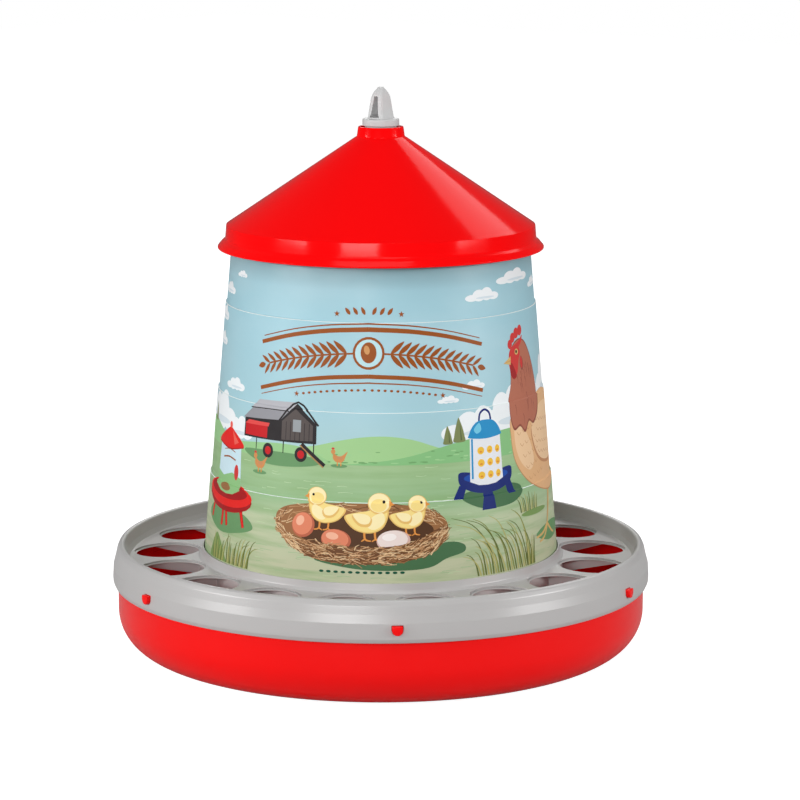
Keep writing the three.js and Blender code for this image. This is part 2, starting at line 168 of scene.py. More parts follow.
# Printing inks, as display colours out of 255.
INKS = {
    "cloud": (238, 243, 245),
    "cloud_shade": (212, 225, 232),
    "hill_far": (160, 204, 142),
    "hill_near": (134, 190, 128),
    "hill_left": (150, 198, 138),
    "hill_shade": (112, 164, 104),
    "hill_light": (156, 204, 144),
    "meadow_line": (150, 188, 140),
    "meadow_light": (190, 214, 170),
    "tree": (122, 132, 84),
    "tree_dark": (92, 104, 66),
    "ground_shade": (104, 148, 100),
    "shade_deep": (72, 112, 76),
    "coop_black": (44, 40, 42),
    "coop_wall": (86, 78, 76),
    "coop_window": (150, 156, 160),
    "coop_red": (196, 30, 36),
    "coop_red_light": (222, 74, 72),
    "coop_roof": (146, 146, 152),
    "coop_roof_light": (178, 178, 184),
    "wood": (170, 126, 80),
    "hen_orange": (206, 138, 84),
    "title": (150, 80, 32),
    "title_light": (206, 148, 92),
    "sky_ink": (186, 222, 228),
    "seed_green": (24, 84, 62),
    "feeder_red": (224, 36, 32),
    "feeder_dark": (160, 22, 26),
    "feeder_light": (234, 96, 84),
    # A pale stripe along each step of the hopper: a painted highlight on the ledge, not part of the artwork.
    "step_light": (232, 240, 238),
    "film_blue": (200, 226, 236),
    "film_green": (140, 190, 128),
    "navy": (18, 40, 112),
    "blue": (24, 74, 164),
    "blue_light": (110, 196, 226),
    "cyan": (30, 140, 196),
    "drinker_white": (230, 233, 238),
    "dot_yellow": (240, 190, 60),
    "dot_orange": (222, 140, 50),
    "hollow": (84, 56, 36),
    "straw_dark": (108, 72, 46),
    "straw_mid": (150, 104, 66),
    "straw": (186, 140, 98),
    "straw_light": (222, 190, 146),
    "egg_brown": (224, 132, 100),
    "egg_shine": (244, 182, 152),
    "egg_dark": (188, 100, 74),
    "egg_pale": (236, 220, 214),
    "egg_white": (248, 240, 236),
    "egg_blush": (214, 176, 166),
    "chick": (248, 221, 138),
    "chick_light": (253, 237, 182),
    "chick_shade": (232, 188, 106),
    "beak": (226, 146, 68),
    "ink_black": (30, 26, 26),
    "hen_body": (226, 178, 130),
    "hen_light": (238, 200, 158),
    "hen_shade": (194, 136, 94),
    "neck": (180, 110, 88),
    "neck_dark": (142, 78, 66),
    "comb": (204, 60, 58),
    "comb_dark": (160, 40, 42),
    "leg": (212, 176, 112),
    "grass_dark": (98, 110, 54),
    "grass": (132, 140, 74),
    "grass_light": (176, 174, 108),
    "bush": (122, 152, 90),
}


# ---------------------------------------------------------------- camera, floor and light
def direction(azimuth):
    """The unit vector at an azimuth, counted about Z from -Y towards +X."""
    angle = math.radians(azimuth)
    return Vector((math.sin(angle), -math.cos(angle), 0.0))


def add_camera():
    data = bpy.data.cameras.new("photo_camera")
    data.sensor_width = SENSOR_MM
    data.lens = LENS_MM
    data.shift_x = FRAMING_SHIFT
    data.clip_end = FARTHEST_SEEN
    camera = bpy.data.objects.new("photo_camera", data)
    camera.location = direction(CAMERA_AZIMUTH) * CAMERA_DISTANCE + Vector((0, 0, CAMERA_HEIGHT))
    camera.rotation_euler = (math.radians(90 - CAMERA_TILT), 0, math.radians(CAMERA_AZIMUTH))
    bpy.context.scene.collection.objects.link(camera)
    bpy.context.scene.camera = camera


def add_area_light(name, azimuth, distance, height, size, power, aim_height=0.2):
    data = bpy.data.lights.new(name, "AREA")
    data.shape = "RECTANGLE"
    data.size, data.size_y = size
    data.energy = power
    light = bpy.data.objects.new(name, data)
    light.location = direction(azimuth) * distance + Vector((0, 0, height))
    aim = Vector((0, 0, aim_height)) - light.location
    light.rotation_euler = aim.to_track_quat("-Z", "Y").to_euler()
    bpy.context.scene.collection.objects.link(light)


def add_studio():
    """Soft boxes in a pale room that lights evenly and shows only faintly in the gloss."""
    world = bpy.data.worlds.new("studio")
    bpy.context.scene.world = world
    world.use_nodes = True
    tree = world.node_tree
    tree.nodes.clear()
    out = tree.nodes.new("ShaderNodeOutputWorld")
    background = tree.nodes.new("ShaderNodeBackground")
    rays = tree.nodes.new("ShaderNodeLightPath")
    strength = ROOM_LIGHT
    for ray, level in (("Is Camera Ray", 1.0), ("Is Glossy Ray", ROOM_GLOSS)):
        add = tree.nodes.new("ShaderNodeMath")
        add.operation = "MULTIPLY_ADD"
        tree.links.new(rays.outputs[ray], add.inputs[0])
        add.inputs[1].default_value = level - ROOM_LIGHT
        if isinstance(strength, float):
            add.inputs[2].default_value = strength
        else:
            tree.links.new(strength, add.inputs[2])
        strength = add.outputs[0]
    background.inputs["Color"].default_value = (1, 1, 1, 1)
    tree.links.new(strength, background.inputs["Strength"])
    tree.links.new(background.outputs[0], out.inputs["Surface"])

    add_area_light("front_softbox", CAMERA_AZIMUTH - 15, 2.6, 0.80, (1.2, 0.35), 24)
    add_area_light("left_softbox", CAMERA_AZIMUTH - 68, 2.6, 0.80, (1.2, 0.35), 30)
    add_area_light("right_softbox", CAMERA_AZIMUTH + 70, 2.6, 0.80, (1.2, 0.35), 31)
    add_area_light("top_softbox", CAMERA_AZIMUTH - 10, 0.9, 2.2, (1.4, 1.0), 11)
    add_area_light("rear_softbox", CAMERA_AZIMUTH + 150, 1.85, 2.0, (1.3, 1.05), 10, 0.37)
    add_area_light("back_softbox", CAMERA_AZIMUTH + 180, 2.4, 1.5, (1.0, 0.8), 14)

    bpy.ops.mesh.primitive_plane_add(size=FLOOR_SIZE, location=(0, 0, FLOOR_HEIGHT))
    floor = bpy.context.object
    floor.name = "studio_floor"
    floor.data.materials.append(floor_material())
    bpy.context.scene.view_settings.view_transform = "Standard"


# ---------------------------------------------------------------- materials
class Shader:
    """A material under construction: short calls that add and link nodes."""

    def __init__(self, name):
        self.material = bpy.data.materials.new(name)
        self.material.use_nodes = True
        self.tree = self.material.node_tree
        self.principled = self.tree.nodes["Principled BSDF"]
        self.coordinates = self.tree.nodes.new("ShaderNodeTexCoord").outputs["Object"]

    def node(self, kind, **settings):
        made = self.tree.nodes.new(kind)
        for key, value in settings.items():
            setattr(made, key, value)
        return made

    def link(self, source, target):
        self.tree.links.new(source, target)

    def scaled(self, scale):
        mapping = self.node("ShaderNodeMapping")
        mapping.inputs["Scale"].default_value = scale
        self.link(self.coordinates, mapping.inputs["Vector"])
        return mapping.outputs["Vector"]

    def noise(self, scale, detail=2.0, stretch=(1, 1, 1)):
        made = self.node("ShaderNodeTexNoise")
        made.inputs["Scale"].default_value = scale
        made.inputs["Detail"].default_value = detail
        self.link(self.scaled(stretch), made.inputs["Vector"])
        return made.outputs["Fac"]

    def ramp(self, factor, stops):
        made = self.node("ShaderNodeValToRGB")
        elements = made.color_ramp.elements
        while len(elements) < len(stops):
            elements.new(0.5)
        for element, (position, value) in zip(elements, stops):
            element.position = position
            element.color = value if len(value) == 4 else (*value, 1)
        self.link(factor, made.inputs["Fac"])
        return made.outputs["Color"]

    def range(self, factor, low, high, start=0.0, end=1.0):
        made = self.node("ShaderNodeMapRange")
        made.inputs["From Min"].default_value = start
        made.inputs["From Max"].default_value = end
        made.inputs["To Min"].default_value = low
        made.inputs["To Max"].default_value = high
        self.link(factor, made.inputs["Value"])
        return made.outputs["Result"]

    def mix(self, factor, first, second):
        made = self.node("ShaderNodeMix", data_type="RGBA")
        for value, socket in ((factor, made.inputs[0]), (first, made.inputs[6]), (second, made.inputs[7])):
            if isinstance(value, bpy.types.NodeSocket):
                self.link(value, socket)
            elif isinstance(value, (int, float)):
                socket.default_value = value
            else:
                socket.default_value = (*value, 1) if len(value) == 3 else value
        return made.outputs[2]

    def bump(self, height, strength, distance=0.0003):
        made = self.node("ShaderNodeBump")
        made.inputs["Strength"].default_value = strength
        made.inputs["Distance"].default_value = distance
        self.link(height, made.inputs["Height"])
        self.link(made.outputs["Normal"], self.principled.inputs["Normal"])

    def set(self, **values):
        for key, value in values.items():
            socket = self.principled.inputs[key.replace("_", " ")]
            if isinstance(value, bpy.types.NodeSocket):
                self.link(value, socket)
            else:
                socket.default_value = value


def floor_material():
    """A pale floor that also glows where the camera sees it, so that it ends up white."""
    shader = Shader("pale_floor")
    shader.set(Base_Color=(0.5, 0.5, 0.5, 1), Roughness=0.9)
    shader.set(Specular_IOR_Level=0.1)
    seen = shader.node("ShaderNodeLightPath").outputs["Is Camera Ray"]
    shader.set(Emission_Color=(1, 1, 1, 1), Emission_Strength=shader.range(seen, 0.0, 0.92))
    return shader.material


def moulded_plastic(name, color, shade, roughness, gloss, grain):
    """Moulded plastic: cloudy pigment, fine orange peel and a little uneven gloss."""
    shader = Shader(name)
    clouds = shader.noise(9.0, detail=3.0)
    shader.set(Base_Color=shader.mix(shader.range(clouds, 0, 1), shade, color))
    flow = shader.noise(26.0, detail=3.0, stretch=(1, 1, 2))
    shader.set(Roughness=shader.range(flow, roughness * 0.9, roughness * 1.1))
    shader.set(Specular_IOR_Level=gloss)
    shader.bump(shader.noise(900.0, detail=2.0), grain)
    return shader.material


def zinc_steel():
    """Zinc plated steel: bright, with turning marks round the axis and a slightly mottled colour."""
    shader = Shader("zinc_steel")
    mottled = shader.noise(160.0, detail=4.0)
    shader.set(Base_Color=shader.ramp(mottled, [(0.35, (0.50, 0.51, 0.53)), (0.65, (0.70, 0.71, 0.72))]))
    shader.set(Metallic=1.0)
    marks = shader.noise(420.0, detail=3.0, stretch=(1, 1, 6))
    shader.set(Roughness=shader.range(marks, 0.22, 0.42, 0.3, 0.7))
    shader.bump(shader.noise(1400.0, stretch=(0.3, 0.3, 3)), 0.12, 0.0001)
    return shader.material


def linear(red, green, blue):
    """A display colour out of 255 as the linear light that shaders take."""
    return tuple((value / 255) ** 2.2 for value in (red, green, blue))


def matt_film(shader, smoothest, roughest, gloss):
    """The film's uneven sheen and slight tooth."""
    sheen = shader.noise(60.0, detail=3.0)
    shader.set(Roughness=shader.range(sheen, smoothest, roughest, 0.3, 0.7))
    shader.set(Specular_IOR_Level=gloss)
    shader.bump(shader.noise(700.0, detail=2.0), 0.04)


def printed_wall():
    """The film's background: sky over a meadow with sideways streaks, darker in the shade of the lid."""
    shader = Shader("printed_wall")
    parts = shader.node("ShaderNodeSeparateXYZ")
    shader.link(shader.coordinates, parts.inputs[0])
    height = parts.outputs["Z"]
    low, high = PRINT_FOOT * MM, HOPPER_TOP * MM

    def at(millimetres):
        return (millimetres * MM - low) / (high - low)

    colors = shader.ramp(shader.range(height, 0, 1, low, high), [
        (at(90), linear(192, 198, 164)),
        (at(122), linear(186, 198, 162)),
        (at(140), linear(148, 184, 138)),
        (at(HORIZON - 1), linear(158, 190, 140)),
        (at(HORIZON), linear(170, 204, 206)),
        (at(205), linear(163, 202, 212)),
        (at(260), linear(160, 201, 213)),
        # The last stops darken the film's top towards the lid: painted shade of the lid's shadow.
        (at(297), linear(158, 200, 212)),
        (at(308), linear(140, 178, 188)),
        (at(316), linear(118, 150, 158)),
    ])
    streaks = shader.noise(14.0, detail=5.0, stretch=(1, 1, 12))
    grass = shader.mix(shader.range(streaks, 0, 1, 0.42, 0.7), colors, linear(138, 174, 120))
    in_grass = shader.range(height, 0.75, 0.0, (HORIZON - 2) * MM, HORIZON * MM)
    meadow = shader.mix(in_grass, colors, grass)
    haze = shader.noise(9.0, detail=4.0, stretch=(1, 1, 2.5))
    in_sky = shader.range(height, 0.0, 0.5, 190 * MM, 250 * MM)
    cloudy = shader.mix(shader.range(haze, 0, 0.6, 0.45, 0.75), meadow, linear(196, 219, 225))
    shader.set(Base_Color=shader.mix(in_sky, meadow, cloudy))
    matt_film(shader, 0.38, 0.52, 0.3)
    return shader.material


RED = moulded_plastic("red_plastic", (0.97, 0.004, 0.004), (0.90, 0.003, 0.003), 0.26, 0.2, 0.05)
LID_RED = moulded_plastic("lid_red_plastic", (1.0, 0.002, 0.003), (0.95, 0.002, 0.003), 0.12, 0.1, 0.03)
GREY = moulded_plastic("grey_plastic", (0.5, 0.49, 0.485), (0.46, 0.45, 0.445), 0.3, 0.5, 0.06)
EYE_GREY = moulded_plastic("eye_grey_plastic", (0.60, 0.60, 0.60), (0.55, 0.55, 0.55), 0.38, 0.25, 0.06)
STEEL = zinc_steel()
PRINTED_WALL = printed_wall()
HOPPER_WHITE = moulded_plastic(
    "hopper_white_plastic", (0.74, 0.75, 0.74), (0.68, 0.69, 0.68), 0.4, 0.35, 0.08
)


# ---------------------------------------------------------------- meshes
def finish_mesh(obj, sharp_degrees=38):
    mesh = obj.data
    mesh.polygons.foreach_set("use_smooth", [True] * len(mesh.polygons))
    mesh.set_sharp_from_angle(angle=math.radians(sharp_degrees))
    mesh.update()


def add_object(name, vertices, faces, material, sharp_degrees=38, weld=1e-6):
    """A mesh object from millimetre coordinates."""
    mesh = bpy.data.meshes.new(name)
    mesh.from_pydata([Vector(v) * MM for v in vertices], [], faces)
    work = bmesh.new()
    work.from_mesh(mesh)
    bmesh.ops.remove_doubles(work, verts=work.verts, dist=weld)
    bmesh.ops.recalc_face_normals(work, faces=work.faces)
    work.to_mesh(mesh)
    work.free()
    obj = bpy.data.objects.new(name, mesh)
    bpy.context.scene.collection.objects.link(obj)
    mesh.materials.append(material)
    finish_mesh(obj, sharp_degrees)
    return obj


def polar(radius, azimuth, height):
    angle = math.radians(azimuth)
    return (radius * math.sin(angle), -radius * math.cos(angle), height)


def rounded(points, steps=5):
    """An outline whose corners that carry a radius, as (x, y, radius), become arcs."""
    result = []
    count = len(points)
    for i, point in enumerate(points):
        corner = Vector(point[:2])
        radius = point[2] if len(point) > 2 else 0
        if not radius:
            result.append(tuple(corner))
            continue
        before = (Vector(points[i - 1][:2]) - corner).normalized()
        after = (Vector(points[(i + 1) % count][:2]) - corner).normalized()
        half = before.angle(after) / 2
        reach = radius / math.tan(half)
        start, end = corner + before * reach, corner + after * reach
        centre = corner + (before + after).normalized() * (radius / math.sin(half))
        first, last = start - centre, end - centre
        sweep = first.angle_signed(last)
        for step in range(steps + 1):
            turn = Matrix.Rotation(-sweep * step / steps, 2)
            result.append(tuple(centre + turn @ first))
    return result


def lathe_faces(columns, rows, closed_profile):
    """Quads between neighbouring columns of a turned outline."""
    faces = []
    last = rows if closed_profile else rows - 1
    for c in range(columns):
        following = (c + 1) % columns
        for r in range(last):
            above = (r + 1) % rows
            faces.append((c * rows + r, following * rows + r, following * rows + above, c * rows + above))
    return faces


def turned(name, outline, material, steps=216, sharp_degrees=38):
    """A closed outline turned about Z. Points on the axis are welded into one."""
    vertices = []
    for c in range(steps):
        azimuth = FRONT_AZIMUTH + 360.0 * c / steps
        vertices += [polar(r, azimuth, z) for r, z in outline]
    return add_object(name, vertices, lathe_faces(steps, len(outline), True), material, sharp_degrees)


def join_parts(parts):
    """Several (vertices, faces) pairs as one."""
    vertices, faces = [], []
    for part_vertices, part_faces in parts:
        base = len(vertices)
        vertices += part_vertices
        faces += [tuple(base + i for i in face) for face in part_faces]
    return vertices, faces


def combine(obj, solids, operation, sharp_degrees=38):
    """Takes (vertices, faces) solids out of an object, adds them to it or keeps what they share."""
    vertices, faces = join_parts(solids)
    tool = add_object("combining_tool", vertices, faces, obj.data.materials[0])
    modifier = obj.modifiers.new("combine", "BOOLEAN")
    modifier.operation = operation
    modifier.solver = "EXACT"
    modifier.object = tool
    take_modified(obj)
    bpy.data.objects.remove(tool)
    finish_mesh(obj, sharp_degrees)


def take_modified(obj):
    """Makes what an object's modifiers give into its own mesh."""
    graph = bpy.context.evaluated_depsgraph_get()
    mesh = bpy.data.meshes.new_from_object(obj.evaluated_get(graph))
    obj.modifiers.clear()
    obj.data = mesh


def weight_normals(obj):
    """Lets the large faces decide the shading, so that flats stay flat beside small rounded edges."""
    modifier = obj.modifiers.new("normals", "WEIGHTED_NORMAL")
    modifier.keep_sharp = True
    take_modified(obj)


def stand_for(obj, body, slot, *nodes):
    """Lets an object ride on a body in the place of CAD nodes. The slot argument is not used."""
    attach(obj, body)
    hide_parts(*nodes)


def top(node):
    """Height of a CAD node's highest point."""
    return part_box(node)[1].z / MM


def foot(node):
    """Height of a CAD node's lowest point."""
    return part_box(node)[0].z / MM


# ---------------------------------------------------------------- shapes
def arc(centre, radius, start, end, steps):
    """Points of an arc in an outline, with angles in degrees from the first axis."""
    points = []
    for i in range(steps + 1):
        angle = math.radians(start + (end - start) * i / steps)
        points.append((centre[0] + radius * math.cos(angle), centre[1] + radius * math.sin(angle)))
    return points


def loft(loops):
    """A solid through a row of loops that have the same number of points."""
    count = len(loops[0])
    vertices = [point for loop in loops for point in loop]
    faces = [tuple(range(count))[::-1], tuple(range(len(vertices) - count, len(vertices)))]
    for row in range(len(loops) - 1):
        base = row * count
        for i in range(count):
            j = (i + 1) % count
            faces.append((base + i, base + j, base + count + j, base + count + i))
    return vertices, faces


def turned_solid(outline, steps):
    vertices = []
    for c in range(steps):
        vertices += [polar(r, 360.0 * c / steps, z) for r, z in outline]
    return vertices, lathe_faces(steps, len(outline), True)


def at_azimuth(solid, azimuth):
    """A solid made at azimuth 0, the -Y side, turned to another azimuth."""
    vertices, faces = solid
    turn = Matrix.Rotation(math.radians(azimuth), 3, "Z")
    return [turn @ Vector(v) for v in vertices], faces


def around(solid, count, first):
    return [at_azimuth(solid, first + 360.0 * i / count) for i in range(count)]


def radial_bar(outline, inner, outer):
    """An outline across and up, pushed out along azimuth 0."""
    return loft([[(x, -r, z) for x, z in outline] for r in (inner, outer)])


def radial_plate(outline, thickness):
    """An outline in radius and height, as an upright plate at azimuth 0."""
    return loft([[(x, -r, z) for r, z in outline] for x in (-thickness / 2, thickness / 2)])


def softened(node, width, material, body, slot, segments=2):
    """A finer stand-in for a CAD node: its own mesh with rounded edges."""
    work = bmesh.new()
    work.from_mesh(PARTS[node].data)
    bmesh.ops.remove_doubles(work, verts=work.verts, dist=1e-6)
    bmesh.ops.dissolve_limit(work, angle_limit=math.radians(1), verts=work.verts, edges=work.edges)
    limit = math.radians(32)
    edges = [e for e in work.edges if len(e.link_faces) == 2 and e.calc_face_angle() > limit]
    bmesh.ops.bevel(work, geom=edges, offset=width * MM, segments=segments, profile=0.5, affect="EDGES",
                    clamp_overlap=True)
    mesh = bpy.data.meshes.new(node + "_fine")
    work.to_mesh(mesh)
    work.free()
    mesh.materials.append(material)
    obj = bpy.data.objects.new(node + "_fine", mesh)
    bpy.context.scene.collection.objects.link(obj)
    finish_mesh(obj, 30)
    stand_for(obj, body, slot, node)
    return obj


# ---------------------------------------------------------------- tray and its snap tabs
def tray_outline():
    crown = TRAY_BOSS - 3
    slope = TRAY_CONE_TOP / (TRAY_CONE_FOOT - crown)
    rise = TRAY_WALL * math.hypot(1, slope)
    floor_start = crown + (TRAY_CONE_TOP + rise - TRAY_WALL) / slope
    boss_foot = TRAY_CONE_TOP + rise - (TRAY_BOSS - crown) * slope
    centre = (TRAY_RADIUS - TRAY_CORNER, TRAY_CORNER)
    outer = arc(centre, TRAY_CORNER, -90, 0, 20)
    inner = arc(centre, TRAY_CORNER - TRAY_WALL, 0, -90, 20)
    boss_top = top("upper_washer") - 1.9
    return rounded([
        (ROD_HOLE, TRAY_CONE_TOP),
        (crown, TRAY_CONE_TOP, 1),
        (TRAY_CONE_FOOT, 0, 0.8),
        *outer,
        (TRAY_RADIUS, TRAY_TOP, 0.6),
        (TRAY_RADIUS - TRAY_WALL, TRAY_TOP, 0.6),
        *inner,
        (floor_start, TRAY_WALL, 6),
        (TRAY_BOSS, boss_foot, 1.5),
        (TRAY_BOSS, boss_top, 1),
        (ROD_HOLE, boss_top, 0.5),
    ], 4)


def add_tray():
    tray = turned("tray_fine", tray_outline(), RED)
    half = TAB_TONGUE / 2 + 0.4
    foot_height = foot("snap_tab_1") - 0.3
    outline = [(-half, foot_height), (half, foot_height), (half, TRAY_TOP + 2), (-half, TRAY_TOP + 2)]
    slot = radial_bar(outline, TRAY_RADIUS - 8, TRAY_RADIUS + 8)
    combine(tray, around(slot, 6, FRONT_AZIMUTH), "DIFFERENCE")
    stand_for(tray, "base", "red_plastic", "tray")


def tab_outline(inset):
    """A flat top with small corners and a round foot."""
    half = TAB_HALF - inset
    centre = TAB_TOP - TAB_HEIGHT + TAB_HALF
    flat = [(half, TAB_TOP - inset, 0.5), (-half, TAB_TOP - inset, 0.5)]
    return rounded(flat + arc((0, centre), half, 180, 360, 14), 3)


def snap_tab():
    """The tongue in the tray's wall and the head that comes through the ring, at azimuth 0."""
    nose = 0.9
    reach = TAB_REACH
    steps = [(TRAY_RADIUS - 1.2, 0), (reach - nose, 0)]
    steps += [(reach - nose + nose * math.sin(a), nose * (1 - math.cos(a))) for a in (0.5, 1.0, 1.35)]
    head = loft([[(x, -r, z) for x, z in tab_outline(inset)] for r, inset in steps])
    low, high = foot("snap_tab_1"), top("snap_tab_1")
    section = rounded([
        (TRAY_RADIUS - TRAY_WALL, low, 0.3),
        (TRAY_RADIUS, low, 0.3),
        (TRAY_RADIUS, high, 0.3),
        (TRAY_RADIUS - TRAY_WALL, high, 0.3),
    ], 2)
    spread = math.degrees(TAB_TONGUE / 2 / TRAY_RADIUS)
    columns = [spread * (i / 4 - 1) for i in range(9)]
    tongue = loft([[polar(r, azimuth, z) for r, z in section] for azimuth in columns])
    return join_parts([head, tongue])


def add_snap_tabs():
    for i in range(6):
        node = f"snap_tab_{i + 1}"
        vertices, faces = at_azimuth(snap_tab(), FRONT_AZIMUTH + 60 * i)
        tab = add_object(node + "_fine", vertices, faces, RED)
        stand_for(tab, node, "red_plastic", node)


# ---------------------------------------------------------------- anti-waste ring
def sleeve_inner(height):
    return hopper_radius(height, 0) + SLEEVE_PLAY


def ring_outline():
    plate_foot = PLATE_TOP - PLATE_WALL
    plate_edge = PLATE_TOP - PLATE_FALL
    return rounded([
        (RING_SKIRT_INNER, RING_SKIRT_FOOT, 0.3),
        (RING_RADIUS - 1.5, RING_SKIRT_FOOT, 1.0),
        (RING_RADIUS - 0.15, RING_SKIRT_FOOT + 3.0, 2.0),
        (RING_RADIUS, RING_SKIRT_FOOT + 6.0),
        (RING_RADIUS - 0.5, RING_CREASE - 0.4, 1.5),
        (RING_RADIUS - 2.2, RING_CREASE + 6.0, 6),
        (RING_RADIUS - 3.5, RING_TOP - 4.4, 5),
        (RING_RADIUS - 5.1, RING_TOP - 1.0, 2.2),
        (RING_RADIUS - 7.4, RING_TOP, 2.2),
        (RING_RADIUS - 9.6, RING_TOP - 1.0, 1.8),
        (PLATE_OUTER + 1.8, plate_edge + 3.9, 3.0),
        (PLATE_OUTER, plate_edge, 0.5),
        (COLLAR_RAMP, PLATE_TOP, 1.5),
        (COLLAR_SHOULDER, PLATE_TOP + 2.2, 3.0),
        (COLLAR_CROWN, COLLAR_TOP, 0.3),
        (sleeve_inner(COLLAR_TOP), COLLAR_TOP, 0.25),
        (sleeve_inner(SLEEVE_FOOT), SLEEVE_FOOT, 0.4),
        (sleeve_inner(SLEEVE_FOOT) + 2, SLEEVE_FOOT, 0.4),
        (SLEEVE_ROOT, plate_foot, 1.0),
        (PLATE_OUTER + 0.6, plate_edge - PLATE_WALL, 1.0),
        (PLATE_OUTER + 3.4, plate_edge + 2.5, 1.0),
        (RING_RADIUS - 8.0, RING_TOP - 3.0, 1.0),
        (RING_RADIUS - 6.6, RING_TOP - 4.0, 1.5),
        (RING_RADIUS - 4.6, RING_CREASE + 5.4, 2.0),
        (RING_SKIRT_INNER, TRAY_TOP + 0.6, 0.3),
    ], 4)


def plate_height(radius):
    """Height of the plate's upper face, which falls a little from the collar to the rim."""
    return PLATE_TOP - PLATE_FALL * (radius - COLLAR_RAMP) / (PLATE_OUTER - COLLAR_RAMP)


def opening_cutter():
    """A head opening as a solid at azimuth 0, with an undercut shadow line just below the plate's face."""
    edge = OPENING_EDGE
    rows = [
        (-PLATE_WALL - 3, 0),
        (-edge - 0.2, 0),
        (-edge + 0.05, edge - 0.6),
        (-edge + 0.1, edge + 0.9),
        (-0.55, edge + 0.9),
        (-0.45, edge),
        (0.25, edge),
        (RING_TOP - PLATE_TOP + 4, edge),
    ]
    loops = []
    for rise, spread in rows:
        loop = []
        for i in range(64):
            angle = 2 * math.pi * i / 64
            radius = OPENING_RADIUS + spread
            across, along = radius * math.sin(angle), OPENING_CENTRE + radius * math.cos(angle)
            loop.append((across, -along, plate_height(math.hypot(across, along)) + rise))
        loops.append(loop)
    return loft(loops)


def fin():
    root = PLATE_TOP - PLATE_WALL / 2
    sleeve = sleeve_inner(root) + 1
    outline = rounded([
        (sleeve, root),
        (sleeve + 1, FIN_INNER_FOOT, 0.5),
        (FIN_OUTER, FIN_OUTER_FOOT, 0.5),
        (FIN_OUTER, root - PLATE_FALL),
    ], 3)
    return radial_plate(outline, 2)


def add_ring():
    ring = turned("anti_waste_ring_fine", ring_outline(), GREY)
    windows = around(radial_bar(tab_outline(-TAB_PLAY), TRAY_RADIUS - 1, RING_RADIUS + 3), 6, FRONT_AZIMUTH)
    combine(ring, around(opening_cutter(), OPENINGS, FIN_AZIMUTH + 180 / OPENINGS), "DIFFERENCE")
    combine(ring, windows, "DIFFERENCE")
    combine(ring, around(fin(), OPENINGS, FIN_AZIMUTH), "UNION")
    weight_normals(ring)
    stand_for(ring, "base", "grey_plastic", "anti_waste_ring")


# ---------------------------------------------------------------- hopper
def hopper_radius(height, section):
    """The outer radius of one of the hopper's tapered sections, which count up from 0 at the foot."""
    return HOPPER_REFERENCE - HOPPER_TAPER * (height - HOPPER_REFERENCE_HEIGHT) - HOPPER_STEP * section


def film_radius(height):
    """The hopper's outer radius at any height, steps included."""
    section = sum(height > step + HOPPER_STEP_RISE for step in HOPPER_STEPS)
    for index, step in enumerate(HOPPER_STEPS):
        if step <= height <= step + HOPPER_STEP_RISE:
            share = (height - step) / HOPPER_STEP_RISE
            return hopper_radius(height, index) - HOPPER_STEP * share
    return hopper_radius(height, section)


def hopper_line(inset, radius):
    line = [(hopper_radius(HOPPER_FOOT, 0) - inset, HOPPER_FOOT, 0.5)]
    for section, height in enumerate(HOPPER_STEPS):
        line.append((hopper_radius(height, section) - inset, height, radius))
        above = height + HOPPER_STEP_RISE
        line.append((hopper_radius(above, section + 1) - inset, above, radius))
    line.append((hopper_radius(HOPPER_TOP, len(HOPPER_STEPS)) - inset, HOPPER_TOP, 0.7))
    return line


def lug():
    outline = rounded([
        (LUG_INNER, LUG_TOP, 0.8),
        (LUG_INNER, LUG_NOSE, 1),
        (LUG_OUTER, LUG_FOOT),
        (LUG_OUTER, LUG_TOP),
    ], 3)
    return radial_plate(outline, LUG_WIDTH)


def add_hopper():
    outline = rounded(hopper_line(0, 0.35) + hopper_line(HOPPER_WALL, 0.35)[::-1], 4)
    hopper = turned("hopper_fine", outline, PRINTED_WALL, steps=288)
    hopper.data.materials.append(HOPPER_WHITE)
    for face in hopper.data.polygons:
        outward = Vector((face.center.x, face.center.y, 0))
        face.material_index = 0 if face.normal.dot(outward) > 0.5 * outward.length else 1
    lug_solids = join_parts(around(lug(), 3, FRONT_AZIMUTH + 60))
    lugs = add_object("hopper_lugs", *lug_solids, HOPPER_WHITE)
    for obj in (hopper, lugs):
        stand_for(obj, "hopper", "printed_hopper", "hopper")


# ---------------------------------------------------------------- lid
def lid_outline():
    slope = (LID_CONE_TOP - LID_BAND_TOP) / (LID_CONE_FOOT - LID_CONE_CROWN)
    drop = LID_WALL * math.hypot(1, slope)

    def under(radius):
        return LID_BAND_TOP + (LID_CONE_FOOT - radius) * slope - drop

    band_inner = LID_CONE_FOOT - LID_WALL
    lip_foot = foot("lid")
    collar_top = top("lid")
    return rounded([
        (LID_HOLE, under(LID_HOLE), 0.3),
        (band_inner, under(band_inner), 1.5),
        (LID_BAND - LID_WALL, LID_BAND_FOOT - 0.4, 1.0),
        (LID_BAND + 0.2, LID_BAND_FOOT - 4.2, 0.6),
        (LID_LIP - 2.2, lip_foot, 0.4),
        (LID_LIP, lip_foot, 0.4),
        (LID_LIP, lip_foot + 1.2, 0.5),
        (LID_LIP - 3, LID_BAND_FOOT - 2.2, 1.5),
        (LID_BAND + 0.8, LID_BAND_FOOT - 0.5, 0.6),
        (LID_BAND, LID_BAND_FOOT + 0.6, 0.5),
        (LID_CONE_FOOT, LID_BAND_TOP, 0.35),
        (LID_CONE_CROWN, LID_CONE_TOP, 0.8),
        (LID_COLLAR + 1.1, LID_CONE_TOP + 1.3, 1.0),
        (LID_COLLAR, collar_top, 0.8),
        (LID_HOLE, collar_top, 0.6),
    ], 4)


def add_lid():
    lid = turned("lid_fine", lid_outline(), LID_RED, steps=288, sharp_degrees=24)
    stand_for(lid, "lid", "red_plastic", "lid")


# ---------------------------------------------------------------- hanging eye
def rounded_square(half, corner, height):
    corners = [(half, half, corner), (-half, half, corner), (-half, -half, corner), (half, -half, corner)]
    return [(x, y, height) for x, y in rounded(corners, 5)]


